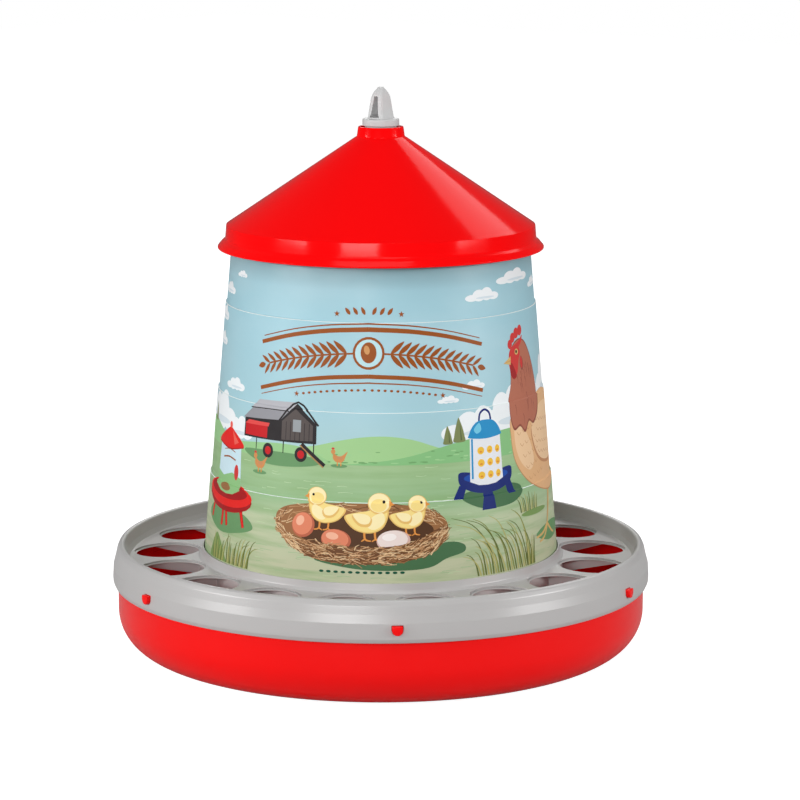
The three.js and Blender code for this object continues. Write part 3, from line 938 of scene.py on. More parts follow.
def eye_half_width(height):
    """Half the side of the tapered block, which closes in a dome at the top."""
    closing = (EYE_FOOT_HALF - EYE_WAIST_HALF) * (height - EYE_FLANGE_TOP) / (EYE_WAIST - EYE_FLANGE_TOP)
    taper = EYE_FOOT_HALF - closing
    if height <= EYE_WAIST:
        return taper
    share = (height - EYE_WAIST) / (EYE_TOP - EYE_WAIST)
    return taper * (1 - 0.62 * share ** 2.6) if share < 1 else taper * 0.38


def eye_block():
    heights = [EYE_FLANGE_TOP - 2 + i * (EYE_WAIST - EYE_FLANGE_TOP + 2) / 6 for i in range(7)]
    dome = (0.25, 0.45, 0.62, 0.76, 0.87, 0.95, 1.0)
    heights += [EYE_WAIST + (EYE_TOP - EYE_WAIST) * share for share in dome]
    loops = []
    for height in heights:
        half = eye_half_width(height)
        share = max(0.0, (height - EYE_WAIST) / (EYE_TOP - EYE_WAIST))
        loops.append(rounded_square(half, half * (0.24 + 0.68 * share), height))
    return loft(loops)


def eye_slot():
    low, high = EYE_SLOT_FOOT, EYE_SLOT_TOP
    outline = rounded([
        (-5.2, low, 0.3),
        (5.2, low, 0.3),
        (3.6, low + 2.6, 1.5),
        (1.7, high - 0.6, 0.7),
        (-1.7, high - 0.6, 0.7),
        (-3.6, low + 2.6, 1.5),
    ], 3)
    return radial_bar(outline, -20, 20)


def add_eye():
    outline = rounded([
        (0.001, EYE_BORE_TOP),
        (ROD_HOLE, EYE_BORE_TOP),
        (ROD_HOLE, EYE_SHANK_FOOT, 0.4),
        (EYE_SHANK, EYE_SHANK_FOOT, 0.8),
        (EYE_SHANK, EYE_FLANGE_FOOT),
        (EYE_FLANGE, EYE_FLANGE_FOOT, 0.7),
        (EYE_FLANGE, EYE_FLANGE_TOP, 1.3),
        (0.001, EYE_FLANGE_TOP),
    ], 5)
    eye = turned("hanging_eye_fine", outline, EYE_GREY, steps=96)
    combine(eye, [eye_block()], "UNION")
    combine(eye, [eye_slot()], "DIFFERENCE")
    weight_normals(eye)
    stand_for(eye, "base", "grey_plastic", "hanging_eye")


# ---------------------------------------------------------------- rod, nuts, screws and adjuster
def add_rod():
    """The hanger rod with its two-start thread."""
    low, high = foot("hanger_rod"), top("hanger_rod")
    columns, rise = 28, 0.3125
    rows = int((high - low) / rise)
    vertices = [(0, 0, low)]
    for row in range(rows + 1):
        height = low + (high - low) * row / rows
        end = min(height - low, high - height)
        for c in range(columns):
            phase = (THREAD_STARTS * (height / THREAD_LEAD - c / columns)) % 1
            ridge = min(1.0, abs(phase - 0.5) * 3.2)
            radius = ROD_RADIUS - THREAD_DEPTH * ridge - max(0.0, 1 - end)
            vertices.append(polar(radius, 360.0 * c / columns, height))
    vertices.append((0, 0, high))
    last = len(vertices) - 1
    faces = []
    for row in range(rows):
        for c in range(columns):
            a, b = 1 + row * columns + c, 1 + row * columns + (c + 1) % columns
            faces.append((a, b, b + columns, a + columns))
    for c in range(columns):
        following = (c + 1) % columns
        faces.append((0, 1 + following, 1 + c))
        faces.append((last, last - columns + c, last - columns + following))
    rod = add_object("hanger_rod_fine", vertices, faces, STEEL, sharp_degrees=60)
    stand_for(rod, "base", "zinc_steel", "hanger_rod")


def add_nut(node):
    """A hexagon nut whose corners are turned off at both ends."""
    low, high = foot(node), top(node)
    corner = NUT_FLATS / 2 / math.cos(math.radians(30))
    hexagon = arc((0, 0), corner, 0, 300, 5)
    prism = loft([[(x, y, z) for x, y in hexagon] for z in (low, high)])
    fall = 1.3
    turned_off = turned_solid([
        (ROD_HOLE, low + 0.5),
        (ROD_HOLE + 0.6, low),
        (NUT_FLATS / 2 - 0.2, low),
        (corner + 0.5, low + fall),
        (corner + 0.5, high - fall),
        (NUT_FLATS / 2 - 0.2, high),
        (ROD_HOLE + 0.6, high),
        (ROD_HOLE, high - 0.5),
    ], 48)
    nut = add_object(node + "_fine", *prism, STEEL, sharp_degrees=20)
    combine(nut, [turned_off], "INTERSECT", 20)
    stand_for(nut, "base", "zinc_steel", node)


def add_screws():
    """Pan heads with a cross recess."""
    for i in range(3):
        node = f"bridge_screw_{i + 1}"
        screw = softened(node, 0.25, STEEL, "hopper", "zinc_steel")
        low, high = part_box(node)
        centre = (low + high) / 2 / MM
        height = high.z / MM
        for turn in (25, 115):
            angle = math.radians(turn)
            along = Vector((math.cos(angle), math.sin(angle), 0))
            across = Vector((-along.y, along.x, 0))
            loops = []
            for z, length, width in ((height - 1.6, 1.2, 0.4), (height + 0.4, 2.3, 0.6)):
                loop = []
                for a, b in ((-1, -1), (1, -1), (1, 1), (-1, 1)):
                    point = Vector((centre.x, centre.y, z)) + along * length * a + across * width * b
                    loop.append(tuple(point))
                loops.append(loop)
            combine(screw, [loft(loops)], "DIFFERENCE", 30)


def add_hardware():
    add_rod()
    for node in ("lower_nut", "upper_nut", "eye_lock_nut"):
        add_nut(node)
    for node in ("lower_washer", "upper_washer"):
        softened(node, 0.2, STEEL, "base", "zinc_steel")
    softened("adjuster_clip", 0.3, STEEL, "adjuster", "zinc_steel")
    softened("feed_adjuster_nut", 0.8, RED, "adjuster", "red_plastic", 3)
    softened("hopper_bridge", 0.7, GREY, "hopper", "grey_plastic", 3)
    add_screws()


# ---------------------------------------------------------------- printed scene: drawing kit
# The artwork is flat: across is millimetres round the hopper at PRINT_RADIUS, up is height in millimetres.
def smooth(points, closed=True, steps=5):
    """A Catmull-Rom curve through the points."""
    count = len(points)
    result = []
    for i in range(count if closed else count - 1):
        if closed:
            p = [Vector(points[(i + k) % count]) for k in (-1, 0, 1, 2)]
        else:
            p = [Vector(points[min(max(i + k, 0), count - 1)]) for k in (-1, 0, 1, 2)]
        for step in range(steps):
            t = step / steps
            curve = 2 * p[1] + (p[2] - p[0]) * t
            curve += (2 * p[0] - 5 * p[1] + 4 * p[2] - p[3]) * t * t
            curve += (3 * p[1] - p[0] - 3 * p[2] + p[3]) * t ** 3
            result.append(tuple(curve / 2))
    if not closed:
        result.append(tuple(points[-1]))
    return result


def ellipse(across, up, half_width, half_height, turn=0.0, steps=22):
    lean = math.radians(turn)
    points = []
    for i in range(steps):
        angle = 2 * math.pi * i / steps
        x, y = half_width * math.cos(angle), half_height * math.sin(angle)
        turned_x = x * math.cos(lean) - y * math.sin(lean)
        turned_y = x * math.sin(lean) + y * math.cos(lean)
        points.append((across + turned_x, up + turned_y))
    return points


def stroke(points, start_width, end_width=None, steps=4):
    """A brush line through the points whose width runs from one end to the other."""
    end_width = start_width if end_width is None else end_width
    spine = smooth(points, closed=False, steps=steps)
    left, right = [], []
    for i, point in enumerate(spine):
        ahead = Vector(spine[min(i + 1, len(spine) - 1)]) - Vector(spine[max(i - 1, 0)])
        side = Vector((-ahead.y, ahead.x)).normalized()
        half = (start_width + (end_width - start_width) * i / (len(spine) - 1)) / 2
        left.append(tuple(Vector(point) + side * half))
        right.append(tuple(Vector(point) - side * half))
    return left + right[::-1]


def placed(points, across, up=0.0, size=1.0, facing=1):
    """A small drawing's points, sized, turned to face its side and moved to their place."""
    return [(across + x * size * facing, up + z * size) for x, z in points]


def star(across, up, size):
    points = []
    for i in range(10):
        radius = size if i % 2 == 0 else size * 0.42
        angle = math.radians(90 + 36 * i)
        points.append((across + radius * math.cos(angle), up + radius * math.sin(angle)))
    return points


class Artwork:
    """Outlines in ink. Later ones cover earlier ones."""

    def __init__(self):
        self.shapes = []
        self.random = random.Random(7)

    def fill(self, ink, outline):
        self.shapes.append((ink, outline))

    def blob(self, ink, points, steps=5):
        self.fill(ink, smooth(points, steps=steps))

    def oval(self, ink, *shape, steps=22):
        self.fill(ink, ellipse(*shape, steps=steps))

    def line(self, ink, points, start_width, end_width=None):
        self.fill(ink, stroke(points, start_width, end_width))


# ---------------------------------------------------------------- printed scene: what is drawn
def draw_cloud(art, across, up, width, height):
    puffs = (
        (-0.34, 0.16, 0.20, 0.30), (-0.12, 0.34, 0.20, 0.52), (0.13, 0.42, 0.19, 0.58),
        (0.35, 0.20, 0.18, 0.34),
    )
    art.oval("cloud_shade", across, up + 0.08 * height, width * 0.5, height * 0.16)
    for along, rise, half, tall in puffs:
        art.oval("cloud", across + along * width, up + rise * height, half * width, tall * height)
    art.oval("cloud_shade", across + 0.08 * width, up + 0.12 * height, width * 0.3, height * 0.1)


def draw_land(art):
    far = [(-64, 179), (-50, 181), (-30, 186), (-12, 189), (6, 189.4), (24, 186.6), (42, 180.5), (62, 174)]
    near = [
        (-30, 168), (0, 171), (22, 174.5), (45, 180), (70, 184.5), (100, 187.5), (130, 188), (165, 186),
        (PRINT_HALF, 183),
    ]
    left = [
        (-PRINT_HALF, 183), (-184, 186.5), (-168, 185), (-150, 179), (-128, 176), (-104, 178), (-80, 180),
        (-58, 178.5), (-38, 170),
    ]
    horizon = HORIZON - 1.5
    art.fill("hill_far", smooth(far, closed=False) + [(62, horizon), (-64, horizon)])
    art.fill("hill_near", smooth(near, closed=False) + [(PRINT_HALF, horizon), (-30, horizon)])
    art.fill("hill_left", smooth(left, closed=False) + [(-38, horizon), (-PRINT_HALF, horizon)])
    for _ in range(70):
        across = art.random.uniform(-60, PRINT_HALF - 8)
        up = HORIZON + art.random.random() ** 2.2 * 11
        ink = art.random.choice(("hill_shade", "hill_light"))
        art.oval(ink, across, up, art.random.uniform(1.2, 3.6), art.random.uniform(0.3, 0.7), steps=8)
    for _ in range(260):
        across = art.random.uniform(-PRINT_HALF + 8, PRINT_HALF - 14)
        up = art.random.uniform(PRINT_FOOT + 3, HORIZON - 3)
        length = art.random.uniform(4, 13)
        bow = art.random.uniform(-0.5, 0.5)
        ink = art.random.choice(("meadow_line", "meadow_light"))
        art.line(ink, [(across, up), (across + length / 2, up + bow), (across + length, up)], 0.4, 0.2)
    for across, up, scale in ((51, 182, 0.75), (60.5, 183, 1.0), (-176, 184, 0.8)):
        crown = [(-4.5, 0), (-4.3, 4), (-3, 10), (-1, 16.5), (0, 18), (1, 16), (3.2, 10), (4.6, 4), (4.7, 0)]
        art.blob("tree", placed(crown, across, up, scale))
        trunk = [(across + 1.8 * scale, up + 1), (across + 1, up + 13 * scale)]
        art.line("tree_dark", trunk, 1.4 * scale, 0.4)


def draw_sky(art):
    for across, up, width, height in (
        (90, 287, 34, 8.5), (132, 297, 48, 9), (174, 289, 26, 7), (-142, 299, 17, 4.5), (-172, 284, 32, 8),
        (-180, 263, 28, 10), (-180, 244, 30, 9), (-140, 214, 30, 8.5), (53, 213, 17, 5), (76, 222, 20, 6),
        (-165, 184, 62, 26), (-128, 180, 36, 15), (-192, 188, 30, 20), (76, 186, 56, 22), (110, 190, 56, 30),
        (146, 188, 50, 34), (184, 205, 44, 34),
    ):
        draw_cloud(art, across, up, width, height)


def draw_coop(art):
    art.blob("ground_shade", [(-116, 172), (-104, 165), (-80, 163), (-52, 165.5), (-44, 170), (-70, 173.5)])
    for across in (-91.5, -61.5):
        art.oval("coop_black", across, 173.4, 5.2, 5.6)
        art.oval("coop_red", across, 173.4, 2.9, 3.1)
    for across in (-104, -77, -51):
        art.line("coop_black", [(across, 182), (across, 173)], 1.0, 0.8)
    art.fill("coop_black", [(-119, 181), (-119, 196), (-80, 199), (-66, 211), (-49, 196.5), (-49, 182)])
    art.fill("coop_wall", [(-79, 183), (-79, 197), (-67, 207), (-52, 195.5), (-52, 184)])
    for across in (-75, -71, -67, -63, -59, -55):
        art.line("coop_black", [(across, 183.5), (across, 197)], 0.5)
    art.fill("coop_window", [(-69, 190), (-69, 199), (-62, 199), (-62, 190)])
    art.fill("coop_red", [(-117.5, 182.5), (-117.5, 191), (-93, 191.5), (-93, 182.5)])
    art.fill("coop_red_light", [(-118.5, 190.8), (-114, 194), (-91, 194), (-92, 191.2)])
    art.fill("coop_roof", [(-121, 195), (-109, 204.5), (-72, 205.5), (-80.5, 197.5)])
    art.fill("coop_roof_light", [(-111.5, 203.5), (-104, 210.5), (-65.5, 211.8), (-73, 204.5)])
    art.line("coop_black", [(-112, 203.8), (-92, 204.6), (-73, 204.8)], 0.8)
    art.line("coop_black", [(-82, 196.8), (-65.5, 212), (-47.5, 195.6)], 1.5)
    art.line("coop_black", [(-61, 181.5), (-42, 166.5)], 2.6)
    art.line("wood", [(-62.5, 180.5), (-43, 165)], 0.9)


def draw_small_hen(art, across, up, size, facing):
    art.oval("ground_shade", across, up, size * 0.42, size * 0.09)
    for step in (-0.08, 0.1):
        art.line("beak", [(across + step * size, up), (across + step * size, up + size * 0.2)], size * 0.05)
    body = [
        (-0.34, 0.5), (-0.2, 0.22), (0.12, 0.18), (0.3, 0.36), (0.28, 0.62), (0.1, 0.5), (-0.14, 0.5),
        (-0.42, 0.72),
    ]
    art.blob("hen_orange", placed(body, across, up, size, facing))
    art.oval("hen_orange", across + 0.3 * size * facing, up + 0.7 * size, size * 0.11, size * 0.13)
    art.oval("comb", across + 0.31 * size * facing, up + 0.86 * size, size * 0.08, size * 0.05)
    art.oval("hen_shade", across - 0.04 * size * facing, up + 0.4 * size, size * 0.15, size * 0.08)


def draw_red_feeder(art, across):
    """A small feeder on legs that stands in the meadow."""
    shade = [(-30, 112), (-6, 103), (24, 107), (37, 113), (22, 122), (-20, 122)]
    art.blob("ground_shade", placed(shade, across))
    for step, lean in ((-24, -5), (-4, -2), (4, 3), (26, 5)):
        leg = placed([(step - lean, 128), (step, 106 + abs(lean))], across)
        art.line("feeder_dark", leg, 4.0, 3.0)
        art.line("feeder_red", leg, 2.6, 1.8)
    art.oval("feeder_dark", across, 131, 34.5, 11.5)
    art.oval("feeder_red", across, 133.5, 34.5, 10)
    art.oval("feeder_dark", across, 136, 29, 6.5)
    body = [(-19, 138), (-10, 134), (0, 133), (10, 134), (19, 138), (16.5, 176), (0, 173), (-16.5, 176)]
    art.fill("film_blue", placed(body, across))
    meadow = [*body[:5], (18.3, 147), (6, 150), (-8, 146), (-18.3, 149)]
    art.fill("film_green", placed(meadow, across))
    art.oval("straw_mid", across - 2, 138, 8, 3)
    art.oval("comb", across + 12, 151, 3, 6)
    art.line("title", placed([(-10, 160), (0, 161.5), (10, 160)], across), 1.2)
    art.line("title", placed([(-9, 166), (0, 167.5), (9, 166)], across), 0.7)
    lid = [
        (-20.5, 171.5), (-10, 168.5), (0, 167.7), (10, 168.5), (20.5, 171.5), (15, 177), (4, 183),
        (0, 184.5), (-4, 183), (-15, 177),
    ]
    art.blob("feeder_red", placed(lid, across), steps=3)
    art.fill("feeder_light", placed([(3, 182), (13, 174), (7, 171.5)], across))
    art.line("feeder_dark", placed([(-20, 171), (0, 167.6), (20, 171)], across), 0.9)
    art.oval("feeder_light", across, 186, 2.2, 2.6)


def draw_drinker(art, across):
    """A blue bell drinker on a low stand."""
    shade = [(-24, 141), (-6, 131.5), (20, 131), (34, 136), (35, 143), (20, 147), (-10, 146)]
    art.blob("shade_deep", placed(shade, across))
    for lean in (-24, 0, 22):
        spread = 4 if lean else 6.5
        ground = 130 + abs(lean) * 0.42
        high, low = across + lean * 0.9, across + lean * 1.08
        leg = [(high - 3.2, 150), (high + 3.2, 150), (low + spread, ground), (low - spread, ground)]
        art.fill("navy", leg)
    stand = [
        (-25.5, 156), (-23, 149), (-12, 144), (0, 142.5), (13, 144), (23, 149), (25.5, 156), (22, 160),
        (0, 157), (-22, 160),
    ]
    art.blob("navy", placed(stand, across))
    art.oval("blue", across, 155, 21, 4.2)
    body = [(-15.5, 152), (-8, 149), (0, 148.4), (8, 149), (15.5, 152), (14.5, 186), (-14.5, 186)]
    art.fill("drinker_white", placed(body, across))
    art.line("cyan", placed([(-12.6, 184), (-13.2, 154)], across), 1.6)
    for row in range(3):
        for column in range(3):
            centre = (across - 5 + column * 8.4 - max(0, column - 1) * 0.8, 156 + row * 9.3)
            art.oval("dot_yellow", *centre, 3.2 - 0.4 * column, 2.9, steps=14)
            art.oval("dot_orange", centre[0], centre[1] - 0.9, 1.4, 0.8, steps=8)
    handle = placed([(-5.6, 196), (-4.6, 202), (0, 205), (4.6, 202), (5.6, 196)], across)
    art.line("navy", smooth(handle, closed=False, steps=2), 1.7)
    cap = [
        (-15.4, 187), (-14.8, 184.8), (0, 183.2), (14.8, 184.8), (15.4, 187), (12, 193), (6, 197),
        (-6, 197), (-12, 193),
    ]
    art.blob("cyan", placed(cap, across), steps=3)
    art.blob("blue_light", placed([(-10.5, 191), (-5.5, 195.4), (-3.8, 190), (-8, 187.6)], across))


def draw_nest(art):
    art.blob("shade_deep", [
        (-48, 97), (-20, 91), (10, 89.6), (34, 91), (47, 97), (61, 101), (60, 107), (44, 109), (0, 100)
    ])
    rim = [
        (-80, 126), (-73, 133.5), (-56, 137.5), (-30, 139.5), (0, 139.5), (25, 137.5), (42, 131),
        (48.5, 123),
    ]
    belly = [(47, 112), (38, 103.5), (22, 97.5), (0, 94.8), (-25, 94.2), (-48, 97), (-65, 104), (-76, 114)]
    art.blob("straw_mid", rim + belly)
    hollow_edge = [(-66, 121), (-55, 128), (-40, 131), (-20, 133), (4, 133), (22, 131), (34, 126), (40, 120)]
    draw_straws(art, rim, hollow_edge, 110)
    art.blob("hollow", [
        (-66, 120), (-54, 127.5), (-25, 130.5), (5, 130.5), (28, 127), (38, 119.5), (30, 111), (5, 106),
        (-25, 106), (-52, 109),
    ])


def draw_nest_front(art):
    lip = [
        (-79, 121), (-66, 113), (-48, 109.5), (-22, 107.5), (4, 107.5), (24, 111), (38, 117.5), (48.5, 123)
    ]
    belly = [(-76, 113), (-64, 103.5), (-46, 96.8), (-23, 94.2), (3, 94.8), (24, 97.8), (39, 104), (48, 113)]
    art.fill("straw_dark", smooth(lip, closed=False) + smooth(belly, closed=False)[::-1])
    draw_straws(art, lip, belly, 430)


def draw_straws(art, upper, lower, count):
    """Short bent straws that follow the band between two edges."""
    upper, lower = smooth(upper, closed=False), smooth(lower, closed=False)
    for _ in range(count):
        place = art.random.uniform(0.02, 0.98) * (len(upper) - 1)
        index = min(int(place), len(upper) - 2)
        depth = art.random.uniform(0.0, 1.0)
        first = Vector(upper[index]).lerp(Vector(lower[index]), depth)
        following = Vector(upper[index + 1]).lerp(Vector(lower[index + 1]), depth)
        heading = (following - first).normalized()
        lean = art.random.gauss(0, 0.30)
        heading = Matrix.Rotation(lean, 2) @ heading
        length = art.random.uniform(5, 12)
        bow = Vector((-heading.y, heading.x)) * art.random.uniform(-1.2, 1.2)
        ink = art.random.choice(("straw_light", "straw_light", "straw", "straw", "straw_dark", "straw_mid"))
        points = (first - heading * length / 2, first + bow, first + heading * length / 2)
        art.fill(ink, stroke(points, art.random.uniform(0.5, 0.95), 0.35, steps=2))


def draw_egg(art, across, up, half_width, half_height, turn, shell, shine, shade):
    art.oval(shade, across, up, half_width, half_height, turn)
    art.oval(shell, across - 0.7, up + 0.8, half_width * 0.9, half_height * 0.88, turn)
    glint = (across - half_width * 0.25, up + half_height * 0.35)
    art.oval(shine, *glint, half_width * 0.42, half_height * 0.34, turn)


def draw_chick(art, across, up, size, facing):
    """A chick that stands at (across, up), drawn in fluffy rounds."""
    def at(x, z):
        return across + x * size * facing, up + z * size

    for x in (-0.08, 0.14):
        art.line("beak", [at(x, 0.2), at(x + 0.02, 0.02), at(x + 0.14, -0.02)], size * 0.05, size * 0.03)
        art.line("beak", [at(x + 0.02, 0.03), at(x - 0.06, -0.03)], size * 0.04, size * 0.02)
    body = [
        (-0.50, 0.52), (-0.42, 0.34), (-0.24, 0.2), (0.04, 0.15), (0.28, 0.24), (0.40, 0.44), (0.42, 0.66),
        (0.22, 0.72), (0.0, 0.64), (-0.24, 0.6),
    ]
    art.blob("chick_shade", [at(x, z) for x, z in body])
    art.blob("chick", [at(x * 0.93, 0.03 + z * 0.96) for x, z in body])
    art.oval("chick_shade", *at(0.24, 0.80), size * 0.25, size * 0.235)
    art.oval("chick_light", *at(0.23, 0.815), size * 0.225, size * 0.21)
    art.oval("chick", *at(0.22, 0.76), size * 0.17, size * 0.14)
    art.blob("chick_light", [at(0.30, 0.60), at(0.34, 0.40), at(0.16, 0.24), at(0.0, 0.28), at(0.08, 0.5)])
    art.blob(
        "chick_shade", [at(-0.34, 0.53), at(-0.2, 0.32), at(0.02, 0.3), at(0.08, 0.46), at(-0.06, 0.56)]
    )
    art.blob(
        "chick_light", [at(-0.32, 0.56), at(-0.18, 0.37), at(0.0, 0.36), at(0.05, 0.49), at(-0.08, 0.57)]
    )
    art.fill("beak", [at(0.44, 0.86), at(0.56, 0.78), at(0.44, 0.74)])
    art.oval("ink_black", *at(0.33, 0.84), size * 0.032, size * 0.034, steps=10)


def draw_big_hen(art):
    """The hen that looks in from the right of the scene."""
    art.blob("ground_shade", [(136, 100), (160, 93), (188, 95), (196, 101), (170, 107), (146, 105)])
    for points in (
        [(168, 140), (164, 122), (158, 106)],
        [(158, 107), (148, 101), (136, 99)],
        [(158, 106), (150, 97.5), (141, 95)],
        [(158, 106), (167, 99), (174, 96)],
    ):
        art.line("leg", points, 3.6 if points[0][1] > 120 else 2.4, 1.6)
    art.line("hen_shade", [(165.6, 136), (161.5, 120), (156.6, 108)], 0.8, 0.5)
    body = [
        (112.5, 196), (111, 180), (114, 163), (123, 150), (137, 140), (154, 133.5), (172, 131), (188, 137),
        (197, 152), (199, 176), (197, 199), (186, 207), (168, 209), (150, 206), (130, 205),
    ]
    art.blob("hen_shade", body)
    art.blob("hen_body", placed(body, 2.3, 2.9, 0.985))
    art.blob(
        "hen_light", [(117, 190), (116, 174), (122, 160), (134, 152), (142, 158), (138, 172), (128, 186)]
    )
    wing = [
        (141, 184), (143, 168), (152, 157), (168, 152), (186, 152), (197, 160), (197, 186), (182, 196),
        (158, 196),
    ]
    art.blob("hen_shade", wing)
    art.blob("hen_light", placed(wing, 1.2, 2.2))
    for row in range(4):
        for column in range(7):
            across = 148 + column * 7.2 + (row % 2) * 3.4
            up = 190 - row * 8.5 - column * 0.9
            art.line("hen_shade", placed([(0, 0), (3.2, -2.6), (6.2, -0.8)], across, up), 0.55, 0.35)
    for row in range(5):
        for column in range(4):
            across = 119 + column * 7 + row * 3.4
            up = 183 - row * 9 + column * 1.2
            art.line("hen_shade", placed([(0, 0), (2.6, -2.4), (5, -0.6)], across, up), 0.45, 0.3)
    neck = [
        (117, 234), (119, 246), (128, 252.5), (139, 251), (148, 241), (155, 226), (159, 209), (156, 194),
        (146, 186), (138, 189), (131, 181.5), (124, 187), (116, 185), (112, 194), (111.5, 207), (116, 220),
    ]
    art.blob("neck_dark", neck)
    art.blob("neck", placed(neck, 5.2, 9.2, 0.96))
    for _ in range(26):
        across = art.random.uniform(119, 150)
        up = art.random.uniform(192, 238)
        art.line("neck_dark", placed([(0, 0), (1.2, -4), (1, -8)], across, up), 0.7, 0.25)
    art.blob("comb", [
        (118, 246), (115.5, 240), (116, 232), (120, 225), (126, 227), (129, 236), (132, 243), (127, 249)
    ])
    for across, up, size in ((118, 250, 3.6), (122, 254.5, 3.9), (127.5, 257.5, 4.2), (133.5, 259, 4.2)):
        art.oval("comb", across, up, size * 0.85, size, -20, steps=14)
    art.blob("comb", [(116, 247), (121, 248), (130, 251), (137, 255), (134, 249), (126, 245)])
    art.blob("comb_dark", [(118, 236), (122, 232), (125, 225), (120, 223.5), (116.5, 229)])
    art.oval("neck_dark", 133.5, 234, 2.6, 5.6, 8)
    art.oval("comb", 133.3, 234.6, 1.9, 4.6, 8)
    art.fill("leg", [(118, 241), (108.5, 236.4), (117.5, 234.6)])
    art.line("hen_shade", [(117.5, 237.6), (109.5, 236.5)], 0.6, 0.3)
    art.oval("leg", 126.6, 243.4, 2.5, 2.3, steps=14)
    art.oval("ink_black", 126.3, 243.5, 1.3, 1.3, steps=10)


def draw_tuft(art, across, up, count, width, height, lean):
    """Grass blades that rise from one clump and bow over to one side."""
    for i in range(count):
        share = i / (count - 1)
        root = across + (share - 0.5) * width
        tall = height * art.random.uniform(0.55, 1.0)
        bow = lean * tall * art.random.uniform(0.35, 1.0) + (share - 0.5) * width * 0.35
        blade = [(0, 0), (bow * 0.18, tall * 0.5), (bow * 0.55, tall * 0.86), (bow, tall)]
        ink = ("grass_dark", "grass_light", "grass")[i % 3]
        art.line(ink, placed(blade, root, up), 1.5, 0.25)


def draw_grass(art):
    art.blob("bush", [(-160, 80), (-157, 92), (-150, 101), (-143, 96), (-137, 88), (-134, 80)])
    draw_tuft(art, -146, 80, 12, 18, 22, 0.25)
    draw_tuft(art, -119, 80, 16, 26, 24, 0.45)
    draw_tuft(art, 128, 122, 12, 22, 17, -0.2)
    art.oval("bush", 136, 120, 19, 2.4)
    draw_tuft(art, 108, 80, 19, 40, 47, -0.75)
    draw_tuft(art, 82, 80, 10, 20, 30, -0.75)
    draw_tuft(art, 126, 80, 7, 9, 26, 0.1)


def arch(across, crown):
    """Height on a shallow arch over the title's middle."""
    return crown - TITLE_FALL * ((across - TITLE_MIDDLE) / TITLE_HALF) ** 2


def draw_rule(art, crown, half, width, end_width):
    places = [TITLE_MIDDLE + half * share for share in (-1, -0.66, -0.33, 0)]
    points = [(across, arch(across, crown)) for across in places]
    mirrored = [(2 * TITLE_MIDDLE - x, z) for x, z in points]
    art.line("title", points, end_width, width)
    art.line("title", mirrored, end_width, width)


def draw_leaf(art, ink, across, up, length, width, angle):
    along = Vector((math.cos(math.radians(angle)), math.sin(math.radians(angle))))
    side = Vector((-along.y, along.x))
    root = Vector((across, up))
    profile = (
        (0, 0), (0.25, 0.85), (0.55, 1.0), (0.82, 0.55), (1, 0), (0.82, -0.55), (0.55, -1.0), (0.25, -0.85)
    )
    points = [root + along * length * share + side * width / 2 * half for share, half in profile]
    art.blob(ink, [tuple(p) for p in points], steps=2)


def draw_title(art):
    """A plain band where a title would stand: an egg in a ring, with an ear of grain on each side."""
    draw_rule(art, 272.8, 93, 1.2, 0.7)
    draw_rule(art, 268.6, 95, 3.6, 2.9)
    draw_rule(art, 233.8, 94, 3.2, 2.9)
    draw_rule(art, 229.0, 93, 1.1, 0.6)
    for side in (-1, 1):
        art.fill("title", star(TITLE_MIDDLE + 26 * side, 279.6, 2.5))
        art.fill("title", star(TITLE_MIDDLE + 58 * side, 218.4, 2.3))
        for i in range(12):
            across = TITLE_MIDDLE + side * (17 + i * 6.2)
            middle = arch(across, 250.8)
            slope = math.degrees(math.atan(arch(across + side, 0) - arch(across, 0)))
            heading = slope if side > 0 else 180 - slope
            grow = 1.0 - 0.026 * i
            for spread in (-44, 44):
                draw_leaf(art, "title", across, middle, 14.5 * grow, 3.7 * grow, heading + spread)
            behind = across - side * 6.2
            art.line("title", [(behind, arch(behind, 250.8)), (across, middle)], 1.3)
        end = TITLE_MIDDLE + side * 90
        draw_leaf(art, "title", end, arch(end, 250.8), 8, 4.2, -17 if side > 0 else 197)
        for i in range(3):
            across = TITLE_MIDDLE + side * (3 + 6 * i)
            draw_leaf(art, "title", across, 279.2, 6.6, 2.8, 90 - side * (28 + 6 * i))
        for i in range(11):
            across = TITLE_MIDDLE + side * (3 + 4.9 * i)
            art.oval("title", across, arch(across, 223.6), 1.25, 0.95, steps=10)
        for i in range(6):
            art.oval("seed_green", TITLE_MIDDLE - 4 + side * (2.6 + 5.2 * i), 88.2, 1.7, 1.0, steps=10)
    art.oval("title", TITLE_MIDDLE, 251, 12.5, 12.2)
    art.oval("sky_ink", TITLE_MIDDLE, 251, 10.6, 10.3)
    art.oval("title", TITLE_MIDDLE, 251.4, 6.2, 7.8)
    art.oval("title_light", TITLE_MIDDLE - 1.4, 253.4, 2.2, 3.4, 12)


def farm_scene():
    art = Artwork()
    draw_sky(art)
    draw_land(art)
    # A pale stripe along each step's ledge: a painted highlight where the step catches the light.
    for step in HOPPER_STEPS:
        ends = (-PRINT_HALF, PRINT_HALF)
        art.fill("step_light", [(x, step) for x in ends] + [(x, step + 0.4) for x in ends[::-1]])
    draw_coop(art)
    draw_small_hen(art, -99, 156, 17, -1)
    draw_small_hen(art, -31, 167, 15, -1)
    draw_small_hen(art, 150, 171, 9, 1)
    draw_title(art)
    draw_red_feeder(art, -139)
    draw_big_hen(art)
    draw_drinker(art, 84)
    draw_nest(art)
    draw_egg(art, -57, 121.5, 9.6, 8.8, 62, "egg_brown", "egg_shine", "egg_dark")
    draw_chick(art, -40, 119.5, 30, -1)
    draw_chick(art, -9, 112.5, 34, 1)
    draw_chick(art, 20, 116.5, 28, 1)
    draw_egg(art, -32, 112, 11, 8, -6, "egg_brown", "egg_shine", "egg_dark")
    draw_egg(art, 9, 112, 12, 8, 4, "egg_pale", "egg_white", "egg_blush")
    draw_nest_front(art)
    draw_grass(art)
    return art.shapes


